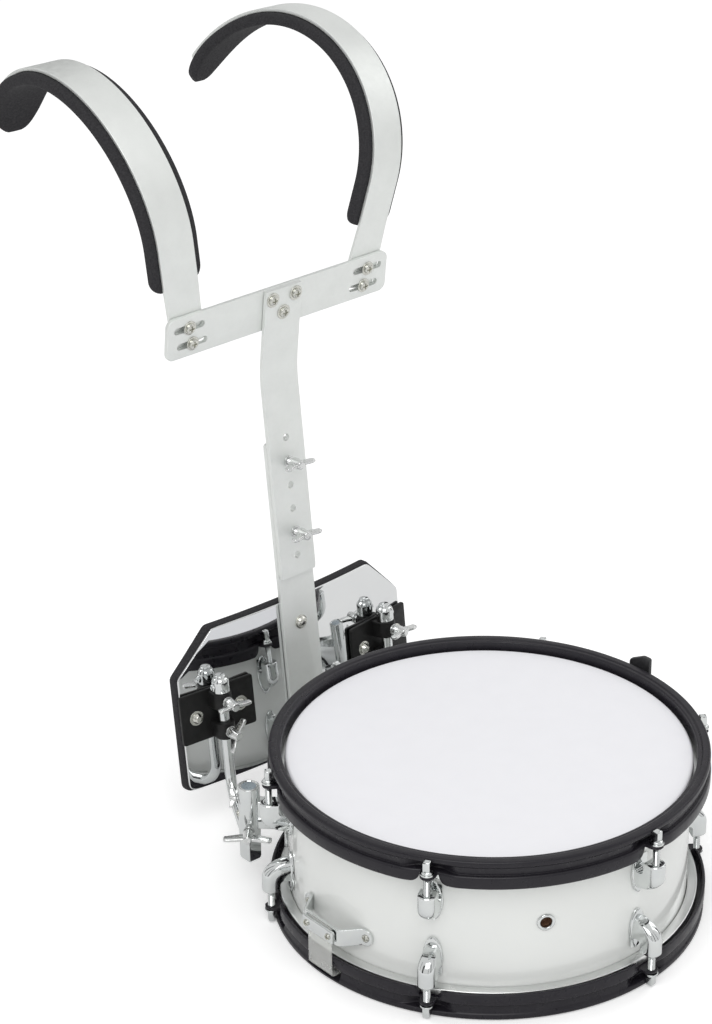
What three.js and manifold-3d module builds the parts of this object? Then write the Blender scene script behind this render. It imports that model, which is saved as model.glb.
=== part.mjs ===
// Marching snare drum hanging from an over-the-shoulder carrier.
// Millimetres, +Z up. The drum's axis is Z and the floor that it stands on is z = 0.
// The player stands on the +Y side; the strainer is on +X and the butt plate on -X.
import * as THREE from 'three';
import { mergeVertices } from 'three/addons/utils/BufferGeometryUtils.js';
import Module from 'manifold-3d';

const wasm = await Module();
wasm.setup();

// Fits shared by many pieces
const seatGap = 0.3; // between two pieces that rest on each other
const runningGap = 0.4; // around a shaft in its hole
const cutOverrun = 2; // how far a cutter passes a face

// Facets
const roundSides = 48; // shell, heads and hoops
const smallSides = 12; // knobs, tubes and bores
const rodSides = 8;

// Shell
const shellRadius = 163;
const shellWall = 7;
const shellDepth = 127;
const shellHeight = 9.5; // lower bearing edge above the floor
const bearingFlat = 2; // outer round-over of each bearing edge

// Vent grommet
const ventTurn = -118.4; // degrees round the shell
const ventHeight = 78;
const ventBore = 4.2;
const ventSleeve = 5.2;
const ventFlange = 7.5;
const ventFlangeThickness = 1.4;

// Drumheads
const filmThickness = 0.5;
const collarThickness = 0.6;
const collarGap = 0.5; // head collar round the shell
const fleshHoopWidth = 9; // out from the shell
const fleshHoopHeight = 6.2;

// Counter hoops
const hoopSheet = 2.2;
const hoopWallInset = 5; // inside of the wall from the flesh hoop's outer edge
const hoopRise = 15.2; // from the seat on the flesh hoop to the top of the rim
const rimWidth = 10.6; // rolled rim, out from the inside of the wall
const rimHeight = 5;
const rimRound = 1.6;
const skirtClearance = 4; // skirt round the flesh hoop
const skirtDrop = 8.6; // below the seat
const skirtRound = 1.7;
const rimAboveFilm = 6.7;

// Ears and tension rods
const lugCount = 6;
const firstLugTurn = -149; // degrees
const rodStandoff = 2.8; // rod's axis beyond the skirt
const earWidth = 14;
const earReach = 6; // beyond the rod's axis
const earRoot = 6; // how far an ear laps over the flange
const skirtNotch = 18; // width of skirt left out at an ear
const rodRadius = 2.9;
const rodLength = 29; // below the ear's top
const washerRadius = 5.5;
const washerThickness = 1.2;
const rodHeadRadius = 3.4;
const rodHeadLength = 10.8;
const rodHeadRound = 1;

// Lugs
const lugBaseWidth = 19;
const lugBaseHeight = 36;
const lugBaseThickness = 2.5;
const lugBaseRise = 2.4; // base above the tower's mouth
const lugTowerRadius = 7.5;
const lugTowerHeight = 22.6;
const lugDomeHeight = 7;
const lugMouthGap = 15.2; // tower's mouth below the ear's seat
const lugNeckWidth = 14;
const lugNeckHeight = 11;
const lugNeckDrop = 9;
const lugBoreDepth = 14;

// Snare wires, straps and the gates they pass through
const wireCount = 16;
const wireThickness = 1.2;
const wirePitch = 2.3;
const wireInset = 12; // end plate's outer edge from the inside of the shell
const endPlateLength = 14;
const endPlateWidth = 40;
const strapWidth = 28;
const strapThickness = 0.8;
const strapInset = 3; // strap start from the end plate's inner edge
const strapStandoff = 1; // strap clear of the hoop's skirt
const strapBend = 3;
const strapTop = 41;
const gateWidth = 38;
const gateFloor = 2.6;
const gateTop = 12.4;
const strapClampHeight = 11;
const strapClampThickness = 2.6;
const strapClampHalf = 16.6;
const strapClampDrop = 1; // clamp bar below the strap's end

// Strainer
const strainerTurn = -1; // degrees
const strainerBaseWidth = 32;
const strainerBaseThickness = 2.4;
const strainerBaseBottom = 30;
const strainerBaseTop = 92;
const strainerBodyWidth = 22;
const strainerProud = 0.1; // body's face beyond the hoop's skirt
const strainerBodyBottom = 46;
const strainerBodyTop = 84;
const tongueWidth = 24;
const tongueBottom = 31;
const cheekThickness = 2.4;
const cheekDepth = 12; // beyond the body's face
const cheekBottom = 56;
const cheekTop = 76;
const leverPivotHeight = 66;
const leverPivotReach = 6; // pivot beyond the body's face
const leverPinRadius = 2;
const leverHubRadius = 4.8;
const leverBladeThickness = 4;
const leverTop = 151.5;
const leverShoulder = 122; // height where the blade is widest
const leverInnerEdge = 2; // paddle's straight edge from the middle
const leverOuterEdge = 21; // paddle's other edge from the middle
const leverTipWidth = 8;
const leverTipDrop = 8;
const knobRadius = 6.5;
const knobHeight = 9;
const knobStemRadius = 2.2;
const knobStemDepth = 12;

// Butt plate
const buttTurn = 180;
const buttEarWidth = 80;
const buttHeight = 15;
const buttThickness = 2.4;
const buttBottom = 38;
const buttFaceHalf = 20; // half of the raised face, on the strip's middle line
const buttFootHalf = 31; // where the strip leaves the shell
const buttStrapTop = 52;
const buttClampHalf = 18.5;

// Receivers on the shell
const receiverTurn = 45.3; // degrees either side of +Y, measured from +X
const receiverStandoff = 32; // tube's axis from the shell
const receiverTubeRadius = 9;
const receiverTop = 97;
const receiverTubeBottom = 47;
const receiverBlockSide = 17;
const receiverBlockBottom = 27;
const receiverBlockBevel = 3;
const receiverBaseWidth = 24;
const receiverBaseBottom = 42;
const receiverBaseTop = 92;
const receiverBaseThickness = 2.6;
const receiverBaseCorner = 8;
const receiverArmWidth = 10;
const receiverArmBottom = 58;
const receiverArmTop = 84;
const receiverScrewHeight = 58;

// Hanging rods
const hangerRadius = 4.75;
const hangerSpread = 93; // each rod from the middle
const hangerStandoff = 12; // rod axis in front of the belly plate
const hangerFoot = 38; // height of the rod's level run
const hangerBend = 20;
const hangerBendSteps = 5;
const hangerInsertion = 6; // rod's end short of the receiver's axis
const hangerTopOverrun = 2; // rod above the collar's shoulder

// Carrier lean and belly plate
const carrierLean = 6.28; // degrees, top away from the drum
const plateStandoff = 65.2; // plate's front from the shell, at the reference height
const plateReference = 100; // height of that point
const plateHalfWidth = 124;
const plateBottom = -57.3; // heights along the plate, from the reference point
const plateTop = 83;
const plateChamfer = 36.6;
const plateThickness = 2;
const plateBow = 11.3; // the ends stand this far behind the middle
const plateBowSteps = 12;
const plateFootRound = 7;
const padThickness = 9;
const padOverhang = 1.6;

// Clamp brackets on the belly plate
const bracketWidth = 72;
const bracketHeight = 45;
const bracketBottom = -12.7;
const bracketThickness = 3;
const knuckleRadius = 8.6;
const knuckleHeight = 14.6;
const knuckleInset = 1.6; // knuckles from the bracket's ends

// Memory collars
const collarRadius = 7.6;
const collarHeight = 13;
const collarDome = 3.4;
const collarBossRadius = 3.2;
const collarBossLength = 1.6; // set screw's head beyond the collar

// Stem
const stemWidth = 38;
const stemSheet = 4;
const lowerStemBottom = -46;
const lowerStemTop = 228.4;
const stemSlotWidth = 7.2;
const stemSlotBottom = 110;
const stemSlotTop = 219;
const upperStemBottom = 107;
const upperStemBend = 289;
const upperStemHead = 77.5; // above the bend
const yokeLean = 6.5; // degrees from upright, toward the drum
const stemHolePitch = 21.15;
const stemHoleCount = 6;
const stemTopHole = 230.5;
const stemHoleRadius = 3.2;
const upperWingHole = 2; // counted from the top
const lowerWingHole = 5;

// Crossbar
const crossbarHalfWidth = 117;
const crossbarHeight = 36.5;
const crossbarDrop = 0.5; // crossbar's top edge below the stem's top
const crossbarCorner = 7;
const slotCentre = 93.2;
const slotLength = 31;
const slotWidth = 6;
const slotRise = 7.4; // each slot above or below the crossbar's middle

// Shoulder bars
const barWidth = 32.6;
const barSheet = 3;
const barSplay = 13.3; // degrees, outward
const leftBarLean = 2.6; // degrees, the left bar nearer upright on its screws
const barTwist = -12.4; // degrees over the hook
const barMiddle = 96.2; // bar's middle at the crossbar's top
const barFoot = 30; // bar below the crossbar's top
const barStraight = 61; // above the crossbar's top
const hookStartRadius = 101;
const hookEndRadius = 140.5;
const hookToe = 3.8; // degrees, hooks toward each other behind
const hookAngle = 163.6; // degrees, to the pad's end
const hookSteps = 18;
const barShortSteps = 1; // the bar stops this short of the pad
const padWidth = 48;
const padDepth = 10;
const padStart = 24; // pad's lower end above the crossbar's top
const padEndShares = [0.42, 0.8, 0.95]; // pad's width at its last stations
const padFootShare = 0.75; // and at its lower end

// Wing screws
const wingThreadRadius = 2.8;
const wingHubRadius = 5;
const wingHubLength = 11;
const wingHubStandoff = 7; // bare thread between the seat and the hub
const wingReach = 15.5;
const receiverWingReach = 20;
const wingThickness = 2.6;
const wingRootHeight = 9;
const wingTipHeight = 5;
const wingFlare = 6; // tips ahead of the hub
const smallWingStandoff = 2;
const stemNutRadius = 6;
const stemNutHeight = 3.6;

// Worked out from the sizes above
const shellTop = shellHeight + shellDepth;
const shellInner = shellRadius - shellWall;
const fleshHoopRadius = shellRadius + fleshHoopWidth;
const hoopWallRadius = fleshHoopRadius - hoopWallInset;
const rimRadius = hoopWallRadius + rimWidth;
const skirtRadius = fleshHoopRadius + skirtClearance + hoopSheet;
const rodCircle = skirtRadius + rodStandoff;
const wireReach = shellInner - wireInset;
const receiverRadius = shellRadius + receiverStandoff;
const batterFilmTop = shellTop + seatGap + filmThickness;
const hoopSeat = batterFilmTop + rimAboveFilm - hoopRise;
const earTop = hoopSeat + hoopSheet;
const snareSeat = hoopRise;
const snareFilmBottom = shellHeight - seatGap - filmThickness;
const collarInner = shellRadius + collarGap;
const lugMouth = hoopSeat - lugMouthGap;
const snareEarTop = snareSeat - hoopSheet;
const snareLugMouth = snareSeat + lugMouthGap;
const shellFace = shellRadius + seatGap;
const strapFace = skirtRadius + strapStandoff;
const lean = THREE.MathUtils.degToRad(carrierLean);
const stemBendAngle = THREE.MathUtils.degToRad(carrierLean + yokeLean);
const splay = THREE.MathUtils.degToRad(barSplay);
const bowRadius = (plateHalfWidth ** 2 + plateBow ** 2) / (2 * plateBow);
const plateBowAt = (x) => bowRadius - Math.sqrt(bowRadius ** 2 - x ** 2);
const lugTurn = (i) => firstLugTurn + (360 / lugCount) * i;

const finish = (color, roughness, metalness) => (
  new THREE.MeshStandardMaterial({ color, roughness, metalness })
);
const whiteGloss = finish(0xf1f2ee, 0.2, 0);
const headCoating = finish(0xefeff2, 0.75, 0);
const blackSteel = finish(0x2b2a30, 0.35, 0.2);
const chrome = finish(0xd9dcde, 0.12, 1);
const blackPlastic = finish(0x2a2a2c, 0.5, 0);
const mirrorSteel = finish(0xc9cccd, 0.06, 1);
const aluminium = finish(0xd6dad6, 0.45, 0.6);
const foam = finish(0x232326, 0.95, 0);
const steelWire = finish(0xc2c4c4, 0.3, 0.9);
const strapFilm = finish(0xd8dad4, 0.4, 0);

// Closed index: shared corners are merged, slivers on an axis are dropped, faces point out.
function closed(geometry) {
  const bare = geometry.clone();
  bare.deleteAttribute('normal');
  bare.deleteAttribute('uv');
  const merged = mergeVertices(bare, 1e-4);
  const index = [];
  for (let i = 0; i < merged.index.count; i += 3) {
    const [a, b, c] = [0, 1, 2].map((k) => merged.index.getX(i + k));
    if (a !== b && b !== c && c !== a) index.push(a, b, c);
  }
  const at = (i) => new THREE.Vector3().fromBufferAttribute(merged.attributes.position, i);
  let volume = 0;
  for (let i = 0; i < index.length; i += 3) {
    volume += at(index[i]).dot(at(index[i + 1]).cross(at(index[i + 2])));
  }
  if (volume < 0) index.reverse();
  merged.setIndex(index);
  return merged;
}

function toSolid(geometry) {
  const mesh = closed(geometry);
  return new wasm.Manifold(new wasm.Mesh({
    numProp: 3,
    vertProperties: new Float32Array(mesh.attributes.position.array),
    triVerts: new Uint32Array(mesh.index.array),
  }));
}

function toGeometry(solid) {
  const mesh = solid.getMesh();
  const geometry = new THREE.BufferGeometry();
  geometry.setAttribute('position', new THREE.BufferAttribute(mesh.vertProperties, 3));
  geometry.setIndex(new THREE.BufferAttribute(mesh.triVerts, 1));
  return geometry;
}

const join = (...pieces) => toGeometry(pieces.map(toSolid).reduce((a, b) => a.add(b)));
const cut = (body, ...cutters) => (
  toGeometry(cutters.map(toSolid).reduce((a, b) => a.subtract(b), toSolid(body)))
);
const common = (a, b) => toGeometry(toSolid(a).intersect(toSolid(b)));
const mirrored = (geometry, axis) => {
  const signs = ['x', 'y', 'z'].map((k) => (k === axis ? -1 : 1));
  return closed(geometry.clone().scale(...signs));
};

function block(x0, x1, y0, y1, z0, z1) {
  const box = new THREE.BoxGeometry(x1 - x0, y1 - y0, z1 - z0);
  return box.translate((x0 + x1) / 2, (y0 + y1) / 2, (z0 + z1) / 2);
}

// A profile of [radius, height] points turned about Z. A ring's profile closes on itself.
function turned(profile, sides, ring = false) {
  const points = profile.map(([r, z]) => new THREE.Vector2(r, z));
  if (ring) points.push(points[0].clone());
  return closed(new THREE.LatheGeometry(points, sides).rotateX(Math.PI / 2));
}

const rodAlongZ = (radius, z0, z1, sides = smallSides) => (
  turned([[0, z0], [radius, z0], [radius, z1], [0, z1]], sides)
);

// An outline of [x, y] points carried from z0 to z1.
function prism(outline, z0, z1) {
  const shape = new THREE.Shape(outline.map(([x, y]) => new THREE.Vector2(x, y)));
  const body = new THREE.ExtrudeGeometry(shape, { depth: z1 - z0, bevelEnabled: false });
  return body.translate(0, 0, z0);
}

// The same, with the outline in X and Z and its thickness along Y.
const plateXZ = (outline, y0, y1) => prism(outline.map(([x, z]) => [x, -z]), y0, y1).rotateX(-Math.PI / 2);
// The same, with the outline in Y and Z and its thickness along X.
const plateYZ = (outline, x0, x1) => prism(outline, x0, x1).rotateX(Math.PI / 2).rotateZ(Math.PI / 2);

// Corner points of a rectangle with round corners, each corner in this many steps.
function roundedRectangle(x0, x1, y0, y1, radius, steps = 3) {
  const [left, right, bottom, top] = [x0 + radius, x1 - radius, y0 + radius, y1 - radius];
  const centres = [[right, top], [left, top], [left, bottom], [right, bottom]];
  return centres.flatMap(([cx, cy], corner) => Array.from({ length: steps + 1 }, (_, i) => {
    const angle = (corner + i / steps) * Math.PI / 2;
    return [cx + radius * Math.cos(angle), cy + radius * Math.sin(angle)];
  }));
}

const ellipse = (a, b, sides) => Array.from({ length: sides }, (_, i) => {
  const angle = (i / sides) * 2 * Math.PI;
  return [a * Math.cos(angle), b * Math.sin(angle)];
});

const drum = new THREE.Group();
const part = new THREE.Group();
part.add(drum);

function add(group, name, geometry, material) {
  const mesh = new THREE.Mesh(closed(geometry), material);
  mesh.name = name;
  group.add(mesh);
  return mesh;
}

// A group turned about the drum's axis, whose +X points outward.
function station(degrees) {
  const group = new THREE.Group();
  group.rotation.z = THREE.MathUtils.degToRad(degrees);
  drum.add(group);
  return group;
}

function shell() {
  const bevel = shellWall - bearingFlat;
  const ring = turned([
    [shellInner, shellHeight + bevel],
    [shellRadius - bearingFlat, shellHeight],
    [shellRadius, shellHeight + bearingFlat],
    [shellRadius, shellTop - bearingFlat],
    [shellRadius - bearingFlat, shellTop],
    [shellInner, shellTop - bevel],
  ], roundSides, true);
  const drill = rodAlongZ(ventSleeve + seatGap, shellInner - cutOverrun, shellRadius + cutOverrun)
    .rotateY(Math.PI / 2)
    .translate(0, 0, ventHeight)
    .rotateZ(THREE.MathUtils.degToRad(ventTurn));
  return cut(ring, drill);
}

function grommet() {
  return turned([
    [ventBore, shellInner],
    [ventSleeve, shellInner],
    [ventSleeve, shellFace],
    [ventFlange, shellFace],
    [ventFlange, shellFace + ventFlangeThickness],
    [ventBore, shellFace + ventFlangeThickness],
  ], smallSides, true).rotateY(Math.PI / 2);
}

// A head as it lies on the batter side: film on top, collar and flesh hoop below it.
function head() {
  const fleshTop = hoopSeat - seatGap;
  const fleshBottom = fleshTop - fleshHoopHeight;
  const filmBottom = shellTop + seatGap;
  return turned([
    [0, filmBottom],
    [collarInner, filmBottom],
    [collarInner, fleshBottom],
    [fleshHoopRadius, fleshBottom],
    [fleshHoopRadius, fleshTop],
    [collarInner + collarThickness, fleshTop],
    [collarInner + collarThickness, filmBottom + filmThickness],
    [0, filmBottom + filmThickness],
  ], roundSides);
}

// The snare-side head is the same piece turned over, a little higher above its rim.
function snareHead() {
  const fleshBottom = snareSeat + seatGap;
  const fleshTop = fleshBottom + fleshHoopHeight;
  return turned([
    [0, snareFilmBottom],
    [collarInner + collarThickness, snareFilmBottom],
    [collarInner + collarThickness, fleshBottom],
    [fleshHoopRadius, fleshBottom],
    [fleshHoopRadius, fleshTop],
    [collarInner, fleshTop],
    [collarInner, snareFilmBottom + filmThickness],
    [0, snareFilmBottom + filmThickness],
  ], roundSides);
}

// A stamped hoop seated at z = 0 with its rim up: rolled rim, wall, seat flange, skirt and ears.
function hoop() {
  const wallOuter = hoopWallRadius + hoopSheet;
  const rimBottom = hoopRise - rimHeight;
  const skirtInner = skirtRadius - hoopSheet;
  const ring = turned([
    [hoopWallRadius, 0],
    [skirtInner, 0],
    [skirtInner, -skirtDrop],
    [skirtRadius, -skirtDrop],
    [skirtRadius, hoopSheet - skirtRound],
    [skirtRadius - skirtRound, hoopSheet],
    [wallOuter, hoopSheet],
    [wallOuter, rimBottom],
    [rimRadius - rimRound, rimBottom],
    [rimRadius, rimBottom + rimRound],
    [rimRadius, hoopRise - rimRound],
    [rimRadius - rimRound, hoopRise],
    [hoopWallRadius + rimRound, hoopRise],
    [hoopWallRadius, hoopRise - rimRound],
  ], roundSides, true);
  const turn = (geometry, i) => geometry.rotateZ(THREE.MathUtils.degToRad(lugTurn(i)));
  const lugs = Array.from({ length: lugCount }, (_, i) => i);
  const [inside, outside] = [skirtInner - cutOverrun, skirtRadius + cutOverrun];
  const notches = lugs.map((i) => turn(block(
    inside, outside, -skirtNotch / 2, skirtNotch / 2, -skirtDrop - cutOverrun, 0,
  ), i));
  const holeRadius = rodRadius + 2 * runningGap;
  const hole = rodAlongZ(holeRadius, -cutOverrun, hoopSheet + cutOverrun, rodSides)
    .translate(rodCircle, 0, 0);
  const holes = lugs.map((i) => turn(hole.clone(), i));
  const ears = lugs.map((i) => turn(prism([
    [skirtRadius - earRoot, -earWidth / 2],
    [rodCircle, -earWidth / 2],
    [rodCircle + earReach, -earWidth / 4],
    [rodCircle + earReach, earWidth / 4],
    [rodCircle, earWidth / 2],
    [skirtRadius - earRoot, earWidth / 2],
  ], 0, hoopSheet), i));
  return cut(join(cut(ring, ...notches), ...ears), ...holes);
}

function snareHoop() {
  const lower = mirrored(hoop(), 'z').translate(0, 0, snareSeat);
  const gate = (side) => block(
    side * (hoopWallRadius - cutOverrun), side * (skirtRadius + cutOverrun),
    -gateWidth / 2, gateWidth / 2, gateFloor, gateTop,
  ).rotateZ(THREE.MathUtils.degToRad(strainerTurn));
  return cut(lower, closed(gate(1)), closed(gate(-1)));
}

// Seen from a station: the rod's axis is at rodCircle, and the mouth that takes the rod is at z = 0.
function lug() {
  const bore = rodRadius + runningGap;
  const baseInner = shellFace - rodCircle;
  const baseOuter = baseInner + lugBaseThickness;
  const baseMiddle = lugBaseRise - lugBaseHeight / 2;
  const tower = turned([
    [0, -lugTowerHeight],
    [lugTowerRadius * Math.SQRT1_2, -lugTowerHeight + lugDomeHeight * (1 - Math.SQRT1_2)],
    [lugTowerRadius, -lugTowerHeight + lugDomeHeight],
    [lugTowerRadius, 0],
    [bore, 0],
    [bore, -lugBoreDepth],
    [0, -lugBoreDepth],
  ], rodSides);
  const neck = block(
    baseInner + lugBaseThickness / 2, -bore - runningGap, -lugNeckWidth / 2, lugNeckWidth / 2,
    -lugNeckDrop - lugNeckHeight, -lugNeckDrop,
  );
  const base = plateYZ(ellipse(lugBaseWidth / 2, lugBaseHeight / 2, smallSides), baseInner, baseOuter);
  return join(base.translate(0, 0, baseMiddle), neck, tower);
}

// Seated at z = 0 on the ear, head up.
function tensionRod() {
  const headBottom = seatGap + washerThickness;
  const headTop = headBottom + rodHeadLength;
  return turned([
    [0, -rodLength],
    [rodRadius, -rodLength],
    [rodRadius, seatGap],
    [washerRadius, seatGap],
    [washerRadius, headBottom],
    [rodHeadRadius, headBottom],
    [rodHeadRadius, headTop - rodHeadRound],
    [rodHeadRadius - rodHeadRound, headTop],
    [0, headTop],
  ], rodSides);
}

// Two end plates joined by straight strands, under the snare-side film.
function snareWires() {
  const top = snareFilmBottom - seatGap;
  const bottom = top - wireThickness;
  const plate = (side) => block(
    Math.min(side * wireReach, side * (wireReach - endPlateLength)),
    Math.max(side * wireReach, side * (wireReach - endPlateLength)),
    -endPlateWidth / 2, endPlateWidth / 2, bottom, top,
  );
  const strands = Array.from({ length: wireCount }, (_, i) => {
    const middle = (i - (wireCount - 1) / 2) * wirePitch;
    const inner = wireReach - endPlateLength / 2;
    return block(-inner, inner, middle - wireThickness / 2, middle + wireThickness / 2, bottom, top);
  });
  return join(plate(-1), plate(1), ...strands);
}

// From under an end plate, out through the gate and up the outside of the skirt, with its clamp bar.
function strap(end, clampHalf) {
  const top = snareFilmBottom - seatGap - wireThickness - seatGap;
  const bottom = top - strapThickness;
  const start = wireReach - endPlateLength + strapInset;
  const outer = strapFace + strapThickness;
  const ribbon = plateXZ([
    [start, bottom],
    [outer - strapBend, bottom],
    [outer, bottom + strapBend],
    [outer, end],
    [strapFace, end],
    [strapFace, top + strapBend],
    [strapFace - strapBend, top],
    [start, top],
  ], -strapWidth / 2, strapWidth / 2);
  const clampTop = end - strapClampDrop;
  const clamp = block(
    outer - strapThickness / 2, outer + strapClampThickness,
    -clampHalf, clampHalf,
    clampTop - strapClampHeight, clampTop,
  );
  return join(ribbon, clamp);
}

const strainerFace = skirtRadius + strainerProud;
const leverAxis = strainerFace + leverPivotReach;
const knobAxis = shellFace + strainerBaseThickness + knobRadius + runningGap;

function strainerBody() {
  const base = block(
    shellFace, shellFace + strainerBaseThickness, -strainerBaseWidth / 2, strainerBaseWidth / 2,
    strainerBaseBottom, strainerBaseTop,
  );
  const half = strainerBodyWidth / 2;
  const body = block(shellFace, strainerFace, -half, half, strainerBodyBottom, strainerBodyTop);
  const tongue = block(
    shellFace, strapFace - seatGap, -tongueWidth / 2, tongueWidth / 2, tongueBottom,
    strainerBodyBottom + strainerBaseThickness,
  );
  const cheek = (side) => block(
    strainerFace - cheekThickness, strainerFace + cheekDepth,
    side * half - (side > 0 ? cheekThickness : 0),
    side * half + (side > 0 ? 0 : cheekThickness), cheekBottom, cheekTop,
  );
  const pinHole = rodAlongZ(leverPinRadius + runningGap, -strainerBodyWidth, strainerBodyWidth)
    .rotateX(Math.PI / 2)
    .translate(leverAxis, 0, leverPivotHeight);
  const stemHole = rodAlongZ(
    knobStemRadius + runningGap, strainerBodyTop - knobStemDepth - runningGap, strainerBodyTop + cutOverrun,
  ).translate(knobAxis, 0, 0);
  return cut(join(base, body, tongue, cheek(1), cheek(-1)), pinHole, stemHole);
}

function strainerLever() {
  const hubHalf = strainerBodyWidth / 2 - cheekThickness - seatGap;
  const alongY = (radius, half) => rodAlongZ(radius, -half, half)
    .rotateX(Math.PI / 2)
    .translate(leverAxis, 0, leverPivotHeight);
  const blade = plateYZ([
    [-leverInnerEdge, leverPivotHeight],
    [hubHalf, leverPivotHeight],
    [hubHalf, cheekTop + leverBladeThickness],
    [leverOuterEdge, leverShoulder],
    [leverOuterEdge, leverTop - leverTipDrop],
    [leverTipWidth - leverInnerEdge, leverTop],
    [-leverInnerEdge, leverTop],
  ], leverAxis - leverBladeThickness / 2, leverAxis + leverBladeThickness / 2);
  return join(alongY(leverHubRadius, hubHalf), alongY(leverPinRadius, strainerBodyWidth / 2), blade);
}

function strainerKnob() {
  const bottom = strainerBodyTop + seatGap;
  return turned([
    [0, strainerBodyTop - knobStemDepth],
    [knobStemRadius, strainerBodyTop - knobStemDepth],
    [knobStemRadius, bottom],
    [knobRadius, bottom],
    [knobRadius, bottom + knobHeight],
    [0, bottom + knobHeight],
  ], smallSides).translate(knobAxis, 0, 0);
}

// A strip bent like a hat: two ears that follow the round shell, and a raised face for the strap.
function buttBracket() {
  const [half, skin, top] = [buttEarWidth / 2, buttThickness / 2, buttBottom + buttHeight];
  const earFall = shellFace - Math.sqrt(shellFace ** 2 - half ** 2); // shell's fall behind a flat plate
  const [back, front] = [shellFace - earFall - cutOverrun, shellFace + buttThickness];
  const outline = roundedRectangle(-half, half, buttBottom, top, buttHeight / 2 - seatGap);
  const [low, high, gap] = [buttBottom - cutOverrun, top + cutOverrun, buttFootHalf - skin];
  const band = turned([[shellFace, low], [front, low], [front, high], [shellFace, high]], roundSides * 2, true);
  const between = block(back - cutOverrun, front + cutOverrun, -gap, gap, low, high);
  const ears = cut(common(plateYZ(outline, back, front), band), between);
  const face = strapFace - seatGap - skin;
  const foot = Math.sqrt((shellFace + skin) ** 2 - buttFootHalf ** 2);
  const [rise, run] = [face - foot, buttFootHalf - buttFaceHalf];
  const slant = skin / Math.hypot(rise, run);
  const mitre = skin * Math.tan(Math.atan2(rise, run) / 2);
  const sideAt = (sign) => [
    [foot + sign * slant * run, buttFootHalf + sign * slant * rise],
    [face + sign * skin, buttFaceHalf + sign * mitre],
  ];
  const flipped = (points) => points.map(([x, y]) => [x, -y]);
  const [outer, inner] = [sideAt(1), sideAt(-1)];
  const line = [...flipped(outer), ...[...outer].reverse(), ...inner, ...flipped(inner).reverse()];
  return join(ears, prism(line, buttBottom, top));
}

// One of the two receivers; its tube's axis is at receiverRadius.
function receiver(side, bore) {
  const tube = turned([
    [0, receiverTubeBottom],
    [receiverTubeRadius, receiverTubeBottom],
    [receiverTubeRadius, receiverTop - rodHeadRound],
    [receiverTubeRadius - rodHeadRound, receiverTop],
    [0, receiverTop],
  ], smallSides);
  const corner = (receiverBlockSide / 2) * Math.SQRT2; // from the tube's axis
  const square = turned([
    [0, receiverBlockBottom],
    [corner - receiverBlockBevel, receiverBlockBottom],
    [corner, receiverBlockBottom + receiverBlockBevel],
    [corner, receiverTubeBottom + cutOverrun],
    [0, receiverTubeBottom + cutOverrun],
  ], 4);
  const column = join(tube, square).translate(receiverRadius, 0, 0);
  const armHalf = receiverArmWidth / 2;
  const arm = block(shellFace, receiverRadius, -armHalf, armHalf, receiverArmBottom, receiverArmTop);
  const half = receiverBaseWidth / 2;
  const base = plateYZ(
    roundedRectangle(-half, half, receiverBaseBottom, receiverBaseTop, receiverBaseCorner),
    shellFace, shellFace + receiverBaseThickness,
  );
  const screwHole = rodAlongZ(wingThreadRadius + runningGap, 0, receiverTubeRadius + cutOverrun)
    .rotateX(side * Math.PI / 2)
    .translate(receiverRadius, 0, receiverScrewHeight);
  return cut(join(column, arm, base), screwHole, bore);
}

// Axis +Z, seated at z = 0; the thread reaches this depth below the seat.
function wingScrew(depth, standoff, reach, nut = 0) {
  const hubTop = standoff + wingHubLength;
  const shaft = turned([
    [0, -depth],
    [wingThreadRadius, -depth],
    [wingThreadRadius, seatGap],
    [wingHubRadius, seatGap],
    [wingHubRadius, seatGap + washerThickness],
    [wingThreadRadius, seatGap + washerThickness],
    [wingThreadRadius, standoff],
    [wingHubRadius, standoff],
    [wingHubRadius - rodHeadRound, hubTop],
    [0, hubTop],
  ], smallSides);
  const wing = plateXZ([
    [0, standoff],
    [wingHubRadius, standoff],
    [reach, standoff + wingFlare],
    [reach, standoff + wingFlare + wingTipHeight],
    [wingHubRadius, standoff + wingRootHeight],
    [0, standoff + wingRootHeight],
  ], -wingThickness / 2, wingThickness / 2);
  const pieces = [shaft, wing, mirrored(wing, 'x')];
  if (nut > 0) pieces.push(rodAlongZ(stemNutRadius, -depth, -depth + nut, 6));
  return join(...pieces);
}

// Carries a section of [across, through] points along frames of { place, across, through }.
function swept(frames, sectionAt) {
  const positions = [];
  const index = [];
  const count = sectionAt(0).length;
  frames.forEach((frame, i) => sectionAt(i).forEach(([a, t]) => {
    const point = frame.place.clone().addScaledVector(frame.across, a).addScaledVector(frame.through, t);
    positions.push(point.x, point.y, point.z);
  }));
  for (let i = 0; i + 1 < frames.length; i += 1) {
    for (let k = 0; k < count; k += 1) {
      const [a, b] = [i * count + k, i * count + ((k + 1) % count)];
      index.push(a, b, b + count, a, b + count, a + count);
    }
  }
  const last = (frames.length - 1) * count;
  for (let k = 1; k + 1 < count; k += 1) {
    index.push(0, k + 1, k, last, last + k, last + k + 1);
  }
  const geometry = new THREE.BufferGeometry();
  geometry.setAttribute('position', new THREE.Float32BufferAttribute(positions, 3));
  geometry.setIndex(index);
  return closed(geometry);
}

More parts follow.
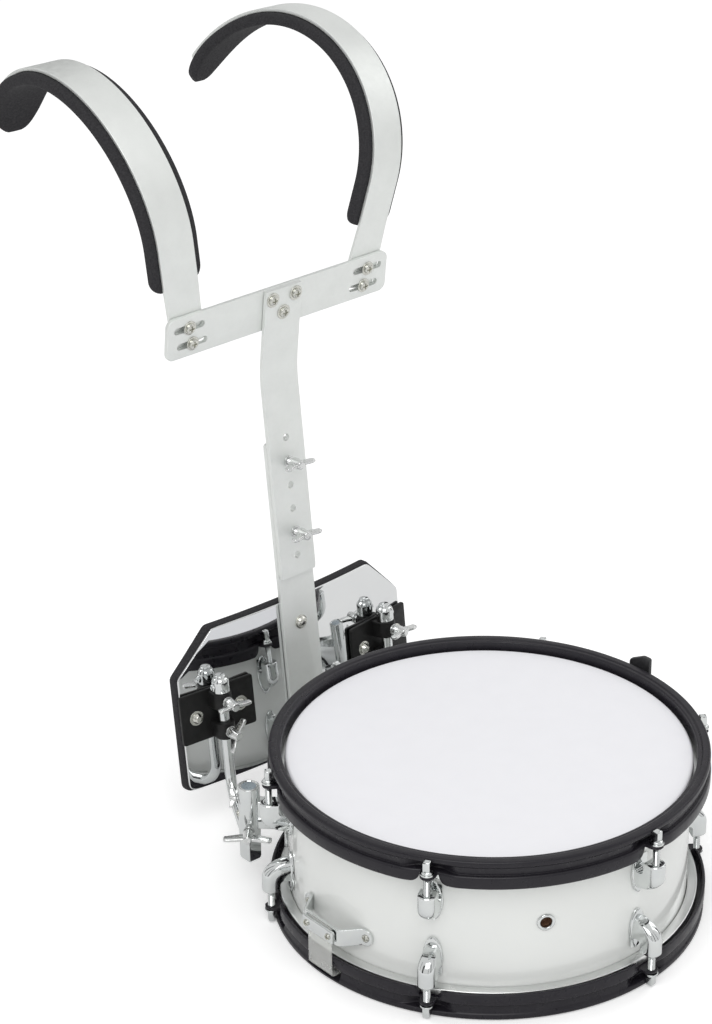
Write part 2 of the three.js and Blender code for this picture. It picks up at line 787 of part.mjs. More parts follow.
// Frames along one shoulder bar, from below the crossbar's top edge to the end of its hook.
// The origin is on that edge, midway through the bar; side is -1 or 1.
function hookFrames(side, start, steps) {
  const tilt = splay - (side < 0 ? THREE.MathUtils.degToRad(leftBarLean) : 0);
  const up = new THREE.Vector3(side * Math.sin(tilt), 0, Math.cos(tilt));
  const level = new THREE.Vector3(0, 1, 0);
  const flat = { across: new THREE.Vector3().crossVectors(up, level), through: level };
  const back = level.clone().applyAxisAngle(up, side * THREE.MathUtils.degToRad(hookToe));
  const across = new THREE.Vector3().crossVectors(up, back);
  const along = (bend) => (
    up.clone().multiplyScalar(Math.cos(bend)).addScaledVector(back, Math.sin(bend))
  );
  const foot = new THREE.Vector3(side * barMiddle, 0, 0);
  const place = foot.clone().addScaledVector(up, barStraight);
  const frames = [-barFoot, 0, padStart, barStraight].filter((height) => height >= start).map((height) => ({
    place: foot.clone().addScaledVector(up, height),
    ...(height > 0 ? { across, through: back } : flat),
  }));
  for (let i = 0; i < steps; i += 1) {
    const step = THREE.MathUtils.degToRad(hookAngle) / hookSteps;
    const radius = hookStartRadius + (hookEndRadius - hookStartRadius) * (i / hookSteps);
    const before = step * (i + 0.5);
    place.addScaledVector(along(before), radius * step);
    const after = step * (i + 1);
    const forward = along(after);
    const inward = along(after + Math.PI / 2);
    const twist = side * THREE.MathUtils.degToRad(barTwist) * ((i + 1) / hookSteps);
    frames.push({
      place: place.clone(),
      across: across.clone().applyAxisAngle(forward, twist),
      through: inward.applyAxisAngle(forward, twist),
    });
  }
  return frames;
}

function shoulderBar(side) {
  const frames = hookFrames(side, -barFoot, hookSteps - barShortSteps);
  const [half, skin] = [barWidth / 2, barSheet / 2];
  return swept(frames, () => [[-half, -skin], [half, -skin], [half, skin], [-half, skin]]);
}

function shoulderPad(side) {
  const frames = hookFrames(side, padStart, hookSteps);
  const near = barSheet / 2 + seatGap;
  const far = near + padDepth;
  const last = frames.length - 1;
  const shareAt = (i) => (i === 0 ? padFootShare : padEndShares[last - i] ?? 1);
  const halfAt = (i) => (padWidth / 2) * shareAt(i);
  return swept(frames, (i) => [[-halfAt(i), near], [halfAt(i), near], [halfAt(i), far], [-halfAt(i), far]]);
}

// Drum
add(drum, 'shell', shell(), whiteGloss);
const vent = station(ventTurn);
add(vent, 'vent_grommet', grommet(), chrome).position.z = ventHeight;
add(drum, 'batter_head', head(), headCoating);
add(drum, 'snare_head', snareHead(), headCoating);
add(drum, 'batter_hoop', hoop(), blackSteel).position.z = hoopSeat;
add(drum, 'snare_hoop', snareHoop(), blackSteel);

for (let i = 0; i < lugCount; i += 1) {
  const place = station(lugTurn(i));
  const number = i + 1;
  for (const [name, geometry, height] of [
    [`batter_lug_${number}`, lug(), lugMouth],
    [`snare_lug_${number}`, mirrored(lug(), 'z'), snareLugMouth],
    [`batter_tension_rod_${number}`, tensionRod(), earTop],
    [`snare_tension_rod_${number}`, mirrored(tensionRod(), 'z'), snareEarTop],
  ]) {
    add(place, name, geometry, chrome).position.set(rodCircle, 0, height);
  }
}

const strainer = station(strainerTurn);
add(strainer, 'strainer_body', strainerBody(), chrome);
add(strainer, 'strainer_lever', strainerLever(), blackPlastic);
add(strainer, 'strainer_knob', strainerKnob(), chrome);
add(strainer, 'snare_wires', snareWires(), steelWire);
add(strainer, 'strainer_strap', strap(strapTop, strapClampHalf), strapFilm);
const butt = station(buttTurn + strainerTurn);
add(butt, 'butt_bracket', buttBracket(), chrome);
add(butt, 'butt_strap', strap(buttStrapTop, buttClampHalf), strapFilm);

// Carrier: its own frame starts at the middle of the belly plate's front face and leans with it.
const carrier = new THREE.Group();
carrier.position.set(0, shellRadius + plateStandoff, plateReference);
carrier.rotation.x = -lean;
part.add(carrier);
carrier.updateMatrixWorld(true);

const hangerAcross = plateBowAt(hangerSpread) - hangerStandoff;
const clampTurn = Math.atan2(hangerSpread, bowRadius - hangerAcross); // the bow's slope at the rod
// From the rod's axis to the plate.
const clampClear = Math.hypot(hangerSpread, bowRadius - hangerAcross) - bowRadius;
const bracketTop = bracketBottom + bracketHeight;
const collarSeat = bracketTop - knuckleInset + seatGap;

function plateOutline(grow) {
  const x = plateHalfWidth + grow;
  const bottom = plateBottom - grow;
  const top = plateTop + grow;
  const corner = plateTop - plateChamfer;
  return [
    [x, corner], [x - plateChamfer, top], [-x + plateChamfer, top], [-x, corner],
    [-x, bottom + plateFootRound], [-x + plateFootRound, bottom],
    [x - plateFootRound, bottom], [x, bottom + plateFootRound],
  ];
}

// A flat outline pressed into the shallow bow of the belly plate, between two depths behind its front.
function bowed(outline, front, back) {
  const reach = plateHalfWidth + cutOverrun + padOverhang;
  const arcAt = (depth, reverse) => Array.from({ length: plateBowSteps + 1 }, (_, i) => {
    const x = reach * (reverse ? 1 - (2 * i) / plateBowSteps : (2 * i) / plateBowSteps - 1);
    return [x, plateBowAt(x) + depth];
  });
  const tall = plateTop - plateBottom;
  const slab = prism([...arcAt(front, false), ...arcAt(back, true)], -tall, tall);
  return common(slab, plateXZ(outline, -plateBow - padThickness, plateBow * 2 + padThickness * 2));
}

// The origin is on the rod's axis, with the belly plate on the +Y side.
function clampBracket() {
  const face = clampClear - seatGap;
  const half = bracketWidth / 2;
  const plate = block(-half, half, face - bracketThickness, face, bracketBottom, bracketTop);
  const knuckle = (bottom) => {
    const outline = Array.from({ length: smallSides / 2 + 1 }, (_, i) => {
      const angle = Math.PI + (i / (smallSides / 2)) * Math.PI;
      return [knuckleRadius * Math.cos(angle), knuckleRadius * Math.sin(angle)];
    });
    const root = face - bracketThickness / 2;
    outline.push([knuckleRadius, root], [-knuckleRadius, root]);
    return prism(outline, bottom, bottom + knuckleHeight);
  };
  const lower = bracketBottom + knuckleInset;
  const upper = bracketTop - knuckleInset - knuckleHeight;
  const bore = rodAlongZ(hangerRadius + runningGap, lower - cutOverrun, upper + knuckleHeight + cutOverrun);
  const tap = rodAlongZ(wingThreadRadius + runningGap, 0, knuckleRadius + cutOverrun)
    .rotateX(Math.PI / 2)
    .translate(0, 0, upper + knuckleHeight / 2);
  return cut(join(plate, knuckle(lower), knuckle(upper)), bore, tap);
}

// A ring on the rod, with a set screw on the side away from the plate's middle.
function memoryCollar(side) {
  const bore = hangerRadius + runningGap;
  const ring = turned([
    [bore, 0],
    [collarRadius, 0],
    [collarRadius, collarHeight - collarDome],
    [bore + runningGap, collarHeight],
    [bore, collarHeight],
  ], smallSides, true);
  const screw = rodAlongZ(collarBossRadius, bore + runningGap, collarRadius + collarBossLength, rodSides)
    .rotateY(side * Math.PI / 2)
    .translate(0, 0, (collarHeight - collarDome) / 2);
  return join(ring, screw);
}

// The rod in the drum's frame: down along the carrier's lean, round a bend, then level to its receiver.
function hangingRod(side) {
  const toWorld = (x, y, z) => new THREE.Vector3(x, y, z).applyMatrix4(carrier.matrixWorld);
  const top = toWorld(side * hangerSpread, hangerAcross, collarSeat + collarHeight + hangerTopOverrun);
  const down = toWorld(0, 0, -1).sub(toWorld(0, 0, 0));
  const corner = top.clone().addScaledVector(down, (hangerFoot - top.z) / down.z);
  const angle = THREE.MathUtils.degToRad(receiverTurn);
  const [across, behind] = [side * Math.cos(angle), Math.sin(angle)];
  const socket = new THREE.Vector3(receiverRadius * across, receiverRadius * behind, hangerFoot);
  const level = socket.clone().sub(corner).normalize();
  const end = socket.clone().addScaledVector(level, -hangerInsertion);
  const sweepAngle = Math.acos(down.dot(level));
  const setback = hangerBend * Math.tan(sweepAngle / 2);
  const start = corner.clone().addScaledVector(down, -setback);
  const inward = level.clone().addScaledVector(down, -level.dot(down)).normalize();
  const centre = start.clone().addScaledVector(inward, hangerBend);
  const axis = new THREE.Vector3().crossVectors(down, inward).normalize();
  const frame = (place, forward) => ({
    place, across: axis, through: new THREE.Vector3().crossVectors(axis, forward).normalize(),
  });
  const frames = [frame(top, down)];
  for (let i = 0; i <= hangerBendSteps; i += 1) {
    const turn = (i / hangerBendSteps) * sweepAngle;
    const spoke = inward.clone().multiplyScalar(-Math.cos(turn)).addScaledVector(down, Math.sin(turn));
    const forward = down.clone().multiplyScalar(Math.cos(turn)).addScaledVector(inward, Math.sin(turn));
    frames.push(frame(centre.clone().addScaledVector(spoke, hangerBend), forward));
  }
  frames.push(frame(end, level));
  const round = (radius) => ellipse(radius, radius, smallSides);
  const mouth = socket.clone().addScaledVector(level, -receiverBlockSide);
  const bottom = end.clone().addScaledVector(level, seatGap);
  const bore = swept([frame(mouth, level), frame(bottom, level)], () => round(hangerRadius + runningGap));
  return { rod: swept(frames, () => round(hangerRadius)), bore };
}

for (const [side, name] of [[-1, 'left'], [1, 'right']]) {
  const { rod, bore } = hangingRod(side);
  add(part, `${name}_hanging_rod`, rod, chrome);
  const turn = side > 0 ? receiverTurn : 180 - receiverTurn;
  const place = station(turn);
  const turnedBore = bore.rotateZ(-THREE.MathUtils.degToRad(turn));
  add(place, `${name}_receiver`, receiver(side, turnedBore), chrome);
  const receiverWings = wingScrew(receiverTubeRadius / 2, smallWingStandoff, receiverWingReach);
  const screw = add(place, `${name}_receiver_wing_screw`, receiverWings, chrome);
  screw.position.set(receiverRadius, -side * receiverTubeRadius, receiverScrewHeight);
  screw.rotation.x = side * Math.PI / 2;
  const clamp = new THREE.Group();
  clamp.position.set(side * hangerSpread, hangerAcross, 0);
  clamp.rotation.z = side * clampTurn;
  carrier.add(clamp);
  add(clamp, `${name}_clamp_bracket`, clampBracket(), blackPlastic);
  const clampWings = wingScrew(knuckleRadius - hangerRadius - runningGap, smallWingStandoff, wingReach);
  const clampScrew = add(clamp, `${name}_clamp_wing_screw`, clampWings, chrome);
  clampScrew.position.set(0, -knuckleRadius, bracketTop - knuckleInset - knuckleHeight / 2);
  clampScrew.rotation.x = Math.PI / 2;
  add(clamp, `${name}_memory_collar`, memoryCollar(side), chrome).position.z = collarSeat;
}

const padFront = plateThickness + seatGap;
add(carrier, 'belly_plate', bowed(plateOutline(0), 0, plateThickness), mirrorSteel);
add(carrier, 'belly_pad', bowed(plateOutline(padOverhang), padFront, padFront + padThickness), foam);

function lowerStem() {
  const wide = stemWidth / 2;
  const bar = block(-wide, wide, -seatGap - stemSheet, -seatGap, lowerStemBottom, lowerStemTop);
  const half = stemSlotWidth / 2;
  const outline = roundedRectangle(-half, half, stemSlotBottom, stemSlotTop, half - seatGap);
  return cut(bar, plateXZ(outline, -stemSheet - cutOverrun, cutOverrun));
}

const upperStemBack = -2 * seatGap - stemSheet;
const upperStemFront = upperStemBack - stemSheet;

function upperStem() {
  const rise = (depth) => [
    depth * Math.cos(stemBendAngle) - upperStemHead * Math.sin(stemBendAngle),
    upperStemBend + upperStemHead * Math.cos(stemBendAngle) + depth * Math.sin(stemBendAngle),
  ];
  const shift = stemSheet * Math.tan(stemBendAngle / 2);
  const [topFrontY, topFrontZ] = rise(0);
  const [topBackY, topBackZ] = rise(stemSheet);
  const bar = plateYZ([
    [upperStemFront, upperStemBottom],
    [upperStemBack, upperStemBottom],
    [upperStemBack, upperStemBend + shift],
    [upperStemFront + topBackY, topBackZ],
    [upperStemFront + topFrontY, topFrontZ],
    [upperStemFront, upperStemBend],
  ], -stemWidth / 2, stemWidth / 2);
  const holes = Array.from({ length: stemHoleCount }, (_, i) => (
    rodAlongZ(stemHoleRadius, -cutOverrun, stemSheet + cutOverrun, rodSides)
      .rotateX(-Math.PI / 2)
      .translate(0, upperStemFront, stemTopHole - i * stemHolePitch)
  ));
  return cut(bar, ...holes);
}

add(carrier, 'lower_stem', lowerStem(), aluminium);
const mast = new THREE.Group();
carrier.add(mast);
add(mast, 'upper_stem', upperStem(), aluminium);
for (const [name, hole] of [['upper', upperWingHole], ['lower', lowerWingHole]]) {
  const depth = 2 * (stemSheet + seatGap) + stemNutHeight;
  const wings = wingScrew(depth, wingHubStandoff, wingReach, stemNutHeight);
  const screw = add(mast, `${name}_stem_wing_screw`, wings, chrome);
  screw.position.set(0, upperStemFront, stemTopHole - (hole - 1) * stemHolePitch);
  screw.rotation.x = Math.PI / 2;
}

// Yoke: along the stem's upper stretch, from the front of the bend.
const yoke = new THREE.Group();
yoke.rotation.x = stemBendAngle;
const yokeRise = upperStemHead - crossbarDrop;
yoke.position.set(0, upperStemFront, upperStemBend);
mast.add(yoke);

function crossbar() {
  const middle = -crossbarHeight / 2;
  const wide = crossbarHalfWidth;
  const bar = plateXZ(roundedRectangle(-wide, wide, -crossbarHeight, 0, crossbarCorner), 0, stemSheet);
  const half = slotWidth / 2;
  const slots = [-1, 1].flatMap((side) => [-1, 1].map((row) => {
    const centre = side * (slotCentre + row * slotRise * Math.tan(splay));
    const height = middle + row * slotRise;
    return plateXZ(roundedRectangle(
      centre - slotLength / 2, centre + slotLength / 2, height - half, height + half, half - seatGap,
    ), -cutOverrun, stemSheet + cutOverrun);
  }));
  return cut(bar, ...slots);
}

const crossbarFront = stemSheet + seatGap;
add(yoke, 'crossbar', crossbar(), aluminium).position.set(0, crossbarFront, yokeRise);
for (const [side, name] of [[-1, 'left'], [1, 'right']]) {
  const place = new THREE.Group();
  place.position.set(0, crossbarFront + stemSheet + seatGap + barSheet / 2, yokeRise);
  yoke.add(place);
  add(place, `${name}_shoulder_bar`, shoulderBar(side), aluminium);
  add(place, `${name}_shoulder_pad`, shoulderPad(side), foam);
}

// The origin moves to the middle of the object's lowest face.
part.updateMatrixWorld(true);
const bounds = new THREE.Box3().setFromObject(part, true);
const centre = bounds.getCenter(new THREE.Vector3());
part.position.set(-centre.x, -centre.y, -bounds.min.z);

export default part;
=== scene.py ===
import math

import bmesh
import bpy
import numpy as np
from mathutils import Matrix, Vector


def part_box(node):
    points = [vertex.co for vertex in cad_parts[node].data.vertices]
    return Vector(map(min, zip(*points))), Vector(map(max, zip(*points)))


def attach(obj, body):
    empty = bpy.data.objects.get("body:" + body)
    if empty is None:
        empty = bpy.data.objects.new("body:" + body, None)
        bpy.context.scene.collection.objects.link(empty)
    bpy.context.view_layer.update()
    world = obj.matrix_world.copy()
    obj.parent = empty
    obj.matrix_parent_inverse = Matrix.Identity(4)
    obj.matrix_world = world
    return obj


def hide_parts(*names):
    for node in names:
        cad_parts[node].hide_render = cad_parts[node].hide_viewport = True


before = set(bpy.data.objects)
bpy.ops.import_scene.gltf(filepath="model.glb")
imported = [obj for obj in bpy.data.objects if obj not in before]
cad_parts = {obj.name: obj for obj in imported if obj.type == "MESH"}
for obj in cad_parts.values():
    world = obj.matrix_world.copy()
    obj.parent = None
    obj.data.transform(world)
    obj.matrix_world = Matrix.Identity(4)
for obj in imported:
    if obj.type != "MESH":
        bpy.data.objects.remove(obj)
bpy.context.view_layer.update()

# Marching snare drum on its shoulder carrier. Sizes are millimetres in the drum's own frame:
# the drum's axis is Z, the floor is z = 0, and the player stands on the +Y side.

shellLow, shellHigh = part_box("shell")
drumAt = np.array([(shellLow.x + shellHigh.x) / 2, (shellLow.y + shellHigh.y) / 2, 0.0])


# Numbers and frames.

def shifted(x, y, z):
    made = np.eye(4)
    made[:3, 3] = (x, y, z)
    return made


def turnedAbout(axis, degrees):
    made = np.eye(4)
    a = math.radians(degrees)
    i, j = {"x": (1, 2), "y": (2, 0), "z": (0, 1)}[axis]
    made[i, i] = made[j, j] = math.cos(a)
    made[i, j], made[j, i] = -math.sin(a), math.sin(a)
    return made


def unit(v):
    v = np.asarray(v, float)
    return v / np.linalg.norm(v, axis=-1, keepdims=True)


def ringAngles(steps):
    return np.arange(steps) / steps * 2 * math.pi


def polar(radius, angle, height):
    # Points at a radius and an angle about Z: x = r cos a, y = r sin a, z = h.
    return np.stack(np.broadcast_arrays(radius * np.cos(angle), radius * np.sin(angle), height), -1)


def runLength(places):
    # How far along its path each place lies.
    return np.concatenate([[0], np.cumsum(np.linalg.norm(np.diff(places, axis=0), axis=1))])


def rounding(distance, length, power=2, most=1.0, depth=1.0):
    # The share left of a section near a rounded end: sqrt(1 - depth (1 - distance / length)^power).
    near = np.clip(1 - distance / length, 0, most)
    return np.sqrt(np.clip(1 - near ** power * depth, 0, 1))


def spun(v, axis, radians):
    # Rodrigues' turn of vector rows v about matching unit axis rows
    v, axis = np.asarray(v, float), np.asarray(axis, float)
    c, s = np.cos(radians), np.sin(radians)
    if np.ndim(radians):
        c, s = c[:, None], s[:, None]
    along = np.sum(v * axis, -1, keepdims=True) * axis
    return v * c + np.cross(axis, v) * s + along * (1 - c)


def moved(solid, matrix):
    points, quads, tris = solid
    matrix = np.asarray(matrix)
    if np.linalg.det(matrix[:3, :3]) < 0:  # a mirror image keeps its faces outward
        quads, tris = quads[:, ::-1], tris[:, ::-1]
    return points @ matrix[:3, :3].T + matrix[:3, 3], quads, tris


def joined(*solids):
    points, quads, tris, base = [], [], [], 0
    for p, q, t in solids:
        points.append(p)
        quads.append(q + base)
        tris.append(t + base)
        base += len(p)
    return np.concatenate(points), np.concatenate(quads), np.concatenate(tris)


# Surfaces on a grid.

def ringsToSolid(rings, closedPath=False, ends=(None, None)):
    # rings[i, j] is point j of station i. Point (i, j) joins (i, j+1), (i+1, j+1) and (i+1, j);
    # an open path is closed at each end by a fan to a middle point.
    n, m = rings.shape[:2]
    i = np.arange(n if closedPath else n - 1)[:, None]
    j = np.arange(m)[None, :]
    quads = np.stack(np.broadcast_arrays(
        i * m + j, i * m + (j + 1) % m, ((i + 1) % n) * m + (j + 1) % m, ((i + 1) % n) * m + j,
    ), -1).reshape(-1, 4)
    points, tris = [rings.reshape(-1, 3)], np.zeros((0, 3), int)
    if not closedPath:
        k = np.arange(m)
        for row, end, flip in ((0, 0, False), (n - 1, 1, True)):
            middle = rings[row].mean(0) if ends[end] is None else np.asarray(ends[end], float)
            apex = np.full(m, sum(len(p) for p in points))
            points.append(middle[None])
            fan = np.stack([apex, row * m + (k + 1) % m, row * m + k], -1)
            tris = np.concatenate([tris, fan[:, ::-1] if flip else fan])
    return np.concatenate(points), quads, tris


def softened(outline, radius, steps=4, closed=True):
    # Each corner becomes a quadratic arc that starts and ends `radius` away from it, or less on a short side.
    p = np.asarray(outline, float)
    before, after = np.roll(p, 1, 0), np.roll(p, -1, 0)
    lengthIn = np.linalg.norm(before - p, axis=1)
    lengthOut = np.linalg.norm(after - p, axis=1)
    reach = np.minimum(np.broadcast_to(radius, lengthIn.shape), 0.48 * np.minimum(lengthIn, lengthOut))
    a = p + (before - p) / lengthIn[:, None] * reach[:, None]
    b = p + (after - p) / lengthOut[:, None] * reach[:, None]
    t = np.linspace(0, 1, steps + 1)[None, :, None]
    arcs = (1 - t) ** 2 * a[:, None] + 2 * t * (1 - t) * p[:, None] + t ** 2 * b[:, None]
    if closed:
        return arcs.reshape(-1, p.shape[1])
    return np.concatenate([p[:1], arcs[1:-1].reshape(-1, p.shape[1]), p[-1:]])


def lathe(profile, steps=64):
    # Radius and height along the profile, turned about Z.
    # The profile starts and ends on the axis, where a fan closes it.
    profile = np.asarray(profile, float)
    body = profile[profile[:, 0] > 1e-9]
    rings = polar(body[:, :1], ringAngles(steps), body[:, 1:])
    return ringsToSolid(rings, ends=((0, 0, profile[0, 1]), (0, 0, profile[-1, 1])))


def latheRing(profile, steps=64):
    # A closed profile off the axis, turned about Z.
    profile = np.asarray(profile, float)
    rings = polar(profile[:, 0][None], ringAngles(steps)[:, None], profile[:, 1][None])
    return ringsToSolid(rings, closedPath=True)


def turned(profile, rounds, fine, steps):
    return lathe(softened(profile, rounds, fine, closed=False), steps)


def cylinder(radius, low, high, steps):
    return lathe([(0, low), (radius, low), (radius, high), (0, high)], steps)


def washerRing(inner, outer, low, high, rounds, steps, fine=3):
    corners = [(inner, low), (outer, low), (outer, high), (inner, high)]
    return latheRing(softened(corners, rounds, fine), steps)


def carried(places, across, through, section, sharesAcross=1.0, sharesThrough=1.0):
    # A closed section of [across, through] points carried along the places of a path.
    section = np.asarray(section, float)
    shares = [np.broadcast_to(share, len(places))[:, None, None] for share in (sharesAcross, sharesThrough)]
    rings = (places[:, None]
             + across[:, None] * (section[None, :, :1] * shares[0])
             + through[:, None] * (section[None, :, 1:] * shares[1]))
    return ringsToSolid(rings)


def swept(places, across, section, sharesAcross=1.0):
    # The section's first direction stays as given; its second stands square to it and to the path.
    forward = unit(np.gradient(places, axis=0))
    across = np.broadcast_to(across, places.shape)
    return carried(places, across, np.cross(forward, across), section, sharesAcross)


def flatSection(half, skin, radius, fine=4):
    return softened([(-half, -skin), (half, -skin), (half, skin), (-half, skin)], radius, fine)


def atHeight(outline, z):
    return np.concatenate([outline, np.full((len(outline), 1), z)], 1)


def inset(outline, by):
    # Each point steps inward along the mean normal of its two sides.
    p = np.asarray(outline, float)
    d = unit(np.roll(p, -1, 0) - np.roll(p, 1, 0))
    area = np.sum(p[:, 0] * np.roll(p[:, 1], -1) - np.roll(p[:, 0], -1) * p[:, 1])
    inward = np.stack([-d[:, 1], d[:, 0]], -1) * (1 if area > 0 else -1)
    return p + inward * by


def slab(outline, bottom, top, edge=0.5, steps=3):
    # An outline in X and Y carried from one height to another, its two rims rounded by `edge`.
    t = np.linspace(0, math.pi / 2, steps + 1)
    levels = [(edge * (1 - math.sin(v)), bottom + edge * (1 - math.cos(v))) for v in t]
    levels += [(edge * (1 - math.cos(v)), top - edge * (1 - math.sin(v))) for v in t]
    return ringsToSolid(np.stack([atHeight(inset(outline, by), height) for by, height in levels]))


def box(x0, x1, y0, y1, z0, z1, edge=0.5):
    outline = softened([(x0, y0), (x1, y0), (x1, y1), (x0, y1)], max(edge * 1.6, 0.05), 3)
    return slab(outline, z0, z1, edge)


def roundedRectangle(x0, x1, y0, y1, radius, steps=8):
    corners = [(x1 - radius, y1 - radius), (x0 + radius, y1 - radius),
               (x0 + radius, y0 + radius), (x1 - radius, y0 + radius)]
    quarters = [np.linspace(0, math.pi / 2, steps + 1) + k * math.pi / 2 for k in range(4)]
    return np.concatenate([np.array(corner) + polar(radius, a, 0)[:, :2]
                           for corner, a in zip(corners, quarters)])


def circle(radius, steps=24):
    return polar(radius, ringAngles(steps), 0)[:, :2]


# Frames that stand an outline up: its thickness then lies along Y or along X.
standing = np.array([[1, 0, 0, 0], [0, 0, 1, 0], [0, 1, 0, 0], [0, 0, 0, 1]], float)
facingOut = np.array([[0, 0, 1, 0], [1, 0, 0, 0], [0, 1, 0, 0], [0, 0, 0, 1]], float)
turnedOver = np.diag([1.0, 1, -1, 1])
sideMirror = np.diag([-1.0, 1, 1, 1])


def panel(frameOf, across, up, depths, corner, edge=0.7, steps=3, fine=8):
    # A flat bar with rounded corners. It spans `across` and `up`, and its faces lie at the two depths.
    return moved(slab(roundedRectangle(*across, *up, corner, fine), *depths, edge, steps), frameOf)


def even(half):
    return -half, half


# Meshes.

def makeMesh(name, solid):
    points, quads, tris = solid
    mesh = bpy.data.meshes.new(name)
    placed = (points * 0.001 + drumAt).astype(np.float32)
    mesh.vertices.add(len(placed))
    mesh.vertices.foreach_set("co", placed.ravel())
    loops = np.concatenate([quads.ravel(), tris.ravel()]).astype(np.int32)
    starts = np.concatenate([np.arange(len(quads)) * 4, len(quads) * 4 + np.arange(len(tris)) * 3])
    mesh.loops.add(len(loops))
    mesh.loops.foreach_set("vertex_index", loops)
    mesh.polygons.add(len(starts))
    mesh.polygons.foreach_set("loop_start", starts.astype(np.int32))
    mesh.update(calc_edges=True)
    mesh.validate()
    return mesh


def inBmesh(mesh, change):
    # The change is made on an edit copy of the mesh and written back.
    b = bmesh.new()
    b.from_mesh(mesh)
    change(b)
    b.to_mesh(mesh)
    b.free()


def outward(mesh):
    def change(b):
        bmesh.ops.remove_doubles(b, verts=b.verts, dist=1e-6)
        bmesh.ops.recalc_face_normals(b, faces=b.faces)
    inBmesh(mesh, change)


def shade(mesh, sharpAngle):
    # The many-sided faces that a cut leaves are split first, into triangles as even as they can be.
    def change(b):
        many = [face for face in b.faces if len(face.verts) > 4]
        bmesh.ops.triangulate(b, faces=many, ngon_method="BEAUTY")
    inBmesh(mesh, change)
    mesh.shade_smooth()
    mesh.set_sharp_from_angle(angle=math.radians(sharpAngle))


def linked(name, data):
    made = bpy.data.objects.new(name, data)
    bpy.context.scene.collection.objects.link(made)
    return made


def solidObject(name, solid):
    mesh = makeMesh(name, solid)
    outward(mesh)
    return linked(name, mesh)


def piece(name, solid, material, body, stands=(), sharpAngle=35, cuts=(), adds=()):
    made = solidObject(name, solid)
    for operation, others in (("UNION", adds), ("DIFFERENCE", cuts)):
        for other in others:
            combine(made, other, operation)
    shade(made.data, sharpAngle)
    made.data.materials.clear()
    made.data.materials.append(material)
    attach(made, body)
    if stands:
        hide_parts(*stands)
    return made


def combine(made, solid, operation):
    # The other solid is added to the piece's mesh or taken out of it, and nothing of it stays behind.
    other = solidObject("other", solid)
    change = made.modifiers.new("combine", "BOOLEAN")
    change.operation, change.solver, change.object = operation, "EXACT", other
    bpy.context.view_layer.update()
    graph = bpy.context.evaluated_depsgraph_get()
    result = bpy.data.meshes.new_from_object(made.evaluated_get(graph))
    made.modifiers.clear()
    made.data = result
    bpy.data.objects.remove(other)


# Materials.

def wired(tree, kind, inputs=(), **settings):
    # A shader node. Each of its inputs is set to a value or fed from another node's output.
    made = tree.nodes.new("ShaderNode" + kind)
    for key, value in settings.items():
        setattr(made, key, value)
    for key, value in dict(inputs).items():
        feed(tree, made, key, value)
    return made


def feed(tree, node, key, value):
    if isinstance(value, bpy.types.NodeSocket):
        tree.links.new(value, node.inputs[key])
    else:
        node.inputs[key].default_value = value


def finishOf(name, colour, roughness, metallic=0.0, grain=None, mottle=None, smudge=None, **sockets):
    # grain: fine bump (size in metres, depth in metres). mottle: (size, second colour, share) of soft
    # colour variation. smudge: (size, least and greatest roughness).
    made = bpy.data.materials.new(name)
    made.use_nodes = True
    tree = made.node_tree
    place = wired(tree, "TexCoord").outputs["Object"]
    noiseLow, noiseHigh, bumpShare = 0.3, 0.7, 0.6

    def noise(size, detail=3.0, stretch=(1, 1, 1)):
        pulled = wired(tree, "Mapping", {"Vector": place, "Scale": stretch}).outputs["Vector"]
        return wired(tree, "TexNoise", {"Vector": pulled, "Scale": 1 / size, "Detail": detail}).outputs["Fac"]

    def spread(size, low, high):
        # The noise's middle range is spread from one value to another.
        return wired(tree, "MapRange", {"Value": noise(size), "From Min": noiseLow, "From Max": noiseHigh,
                                        "To Min": low, "To Max": high}).outputs["Result"]

    inputs = {"Base Color": (*colour, 1), "Roughness": roughness, "Metallic": metallic}
    inputs.update({socket.replace("_", " "): value for socket, value in sockets.items()})
    if grain:
        size, depth, *stretch = grain
        height = noise(size, 4.0, *stretch)
        inputs["Normal"] = wired(tree, "Bump", {"Distance": depth, "Strength": bumpShare,
                                                "Height": height}).outputs["Normal"]
    if mottle:
        size, second, share = mottle
        mix = wired(tree, "Mix", {"A": (*colour, 1), "B": (*second, 1), "Factor": spread(size, 0, share)},
                    data_type="RGBA")
        inputs["Base Color"] = mix.outputs["Result"]
    if smudge:
        inputs["Roughness"] = spread(*smudge)
    for key, value in inputs.items():
        feed(tree, tree.nodes["Principled BSDF"], key, value)
    return made


whiteWrap = finishOf("whiteWrap", (0.815, 0.83, 0.81), 0.16, grain=(0.012, 0.00004),
                     mottle=(0.06, (0.79, 0.805, 0.785), 0.5), smudge=(0.03, 0.12, 0.2), Coat_Weight=0.4)
coatedFilm = finishOf("coatedFilm", (0.86, 0.86, 0.89), 0.55, grain=(0.0011, 0.00006),
                      mottle=(0.02, (0.84, 0.84, 0.87), 0.6), smudge=(0.004, 0.48, 0.62))
clearFilm = finishOf("clearFilm", (0.8, 0.8, 0.8), 0.3, grain=(0.004, 0.00002), smudge=(0.02, 0.24, 0.36))
blackHoop = finishOf("blackHoop", (0.015, 0.0135, 0.018), 0.34, grain=(0.0016, 0.00005),
                     mottle=(0.01, (0.022, 0.0205, 0.025), 0.5), smudge=(0.008, 0.24, 0.38),
                     Specular_IOR_Level=0.3)
chrome = finishOf("chrome", (0.74, 0.76, 0.75), 0.07, 1.0, grain=(0.006, 0.00002),
                  mottle=(0.01, (0.67, 0.69, 0.7), 0.6), smudge=(0.006, 0.04, 0.12))
zincScrew = finishOf("zincScrew", (0.7, 0.7, 0.65), 0.16, 1.0, grain=(0.001, 0.00004),
                     mottle=(0.003, (0.5, 0.5, 0.46), 0.7), smudge=(0.002, 0.1, 0.22))
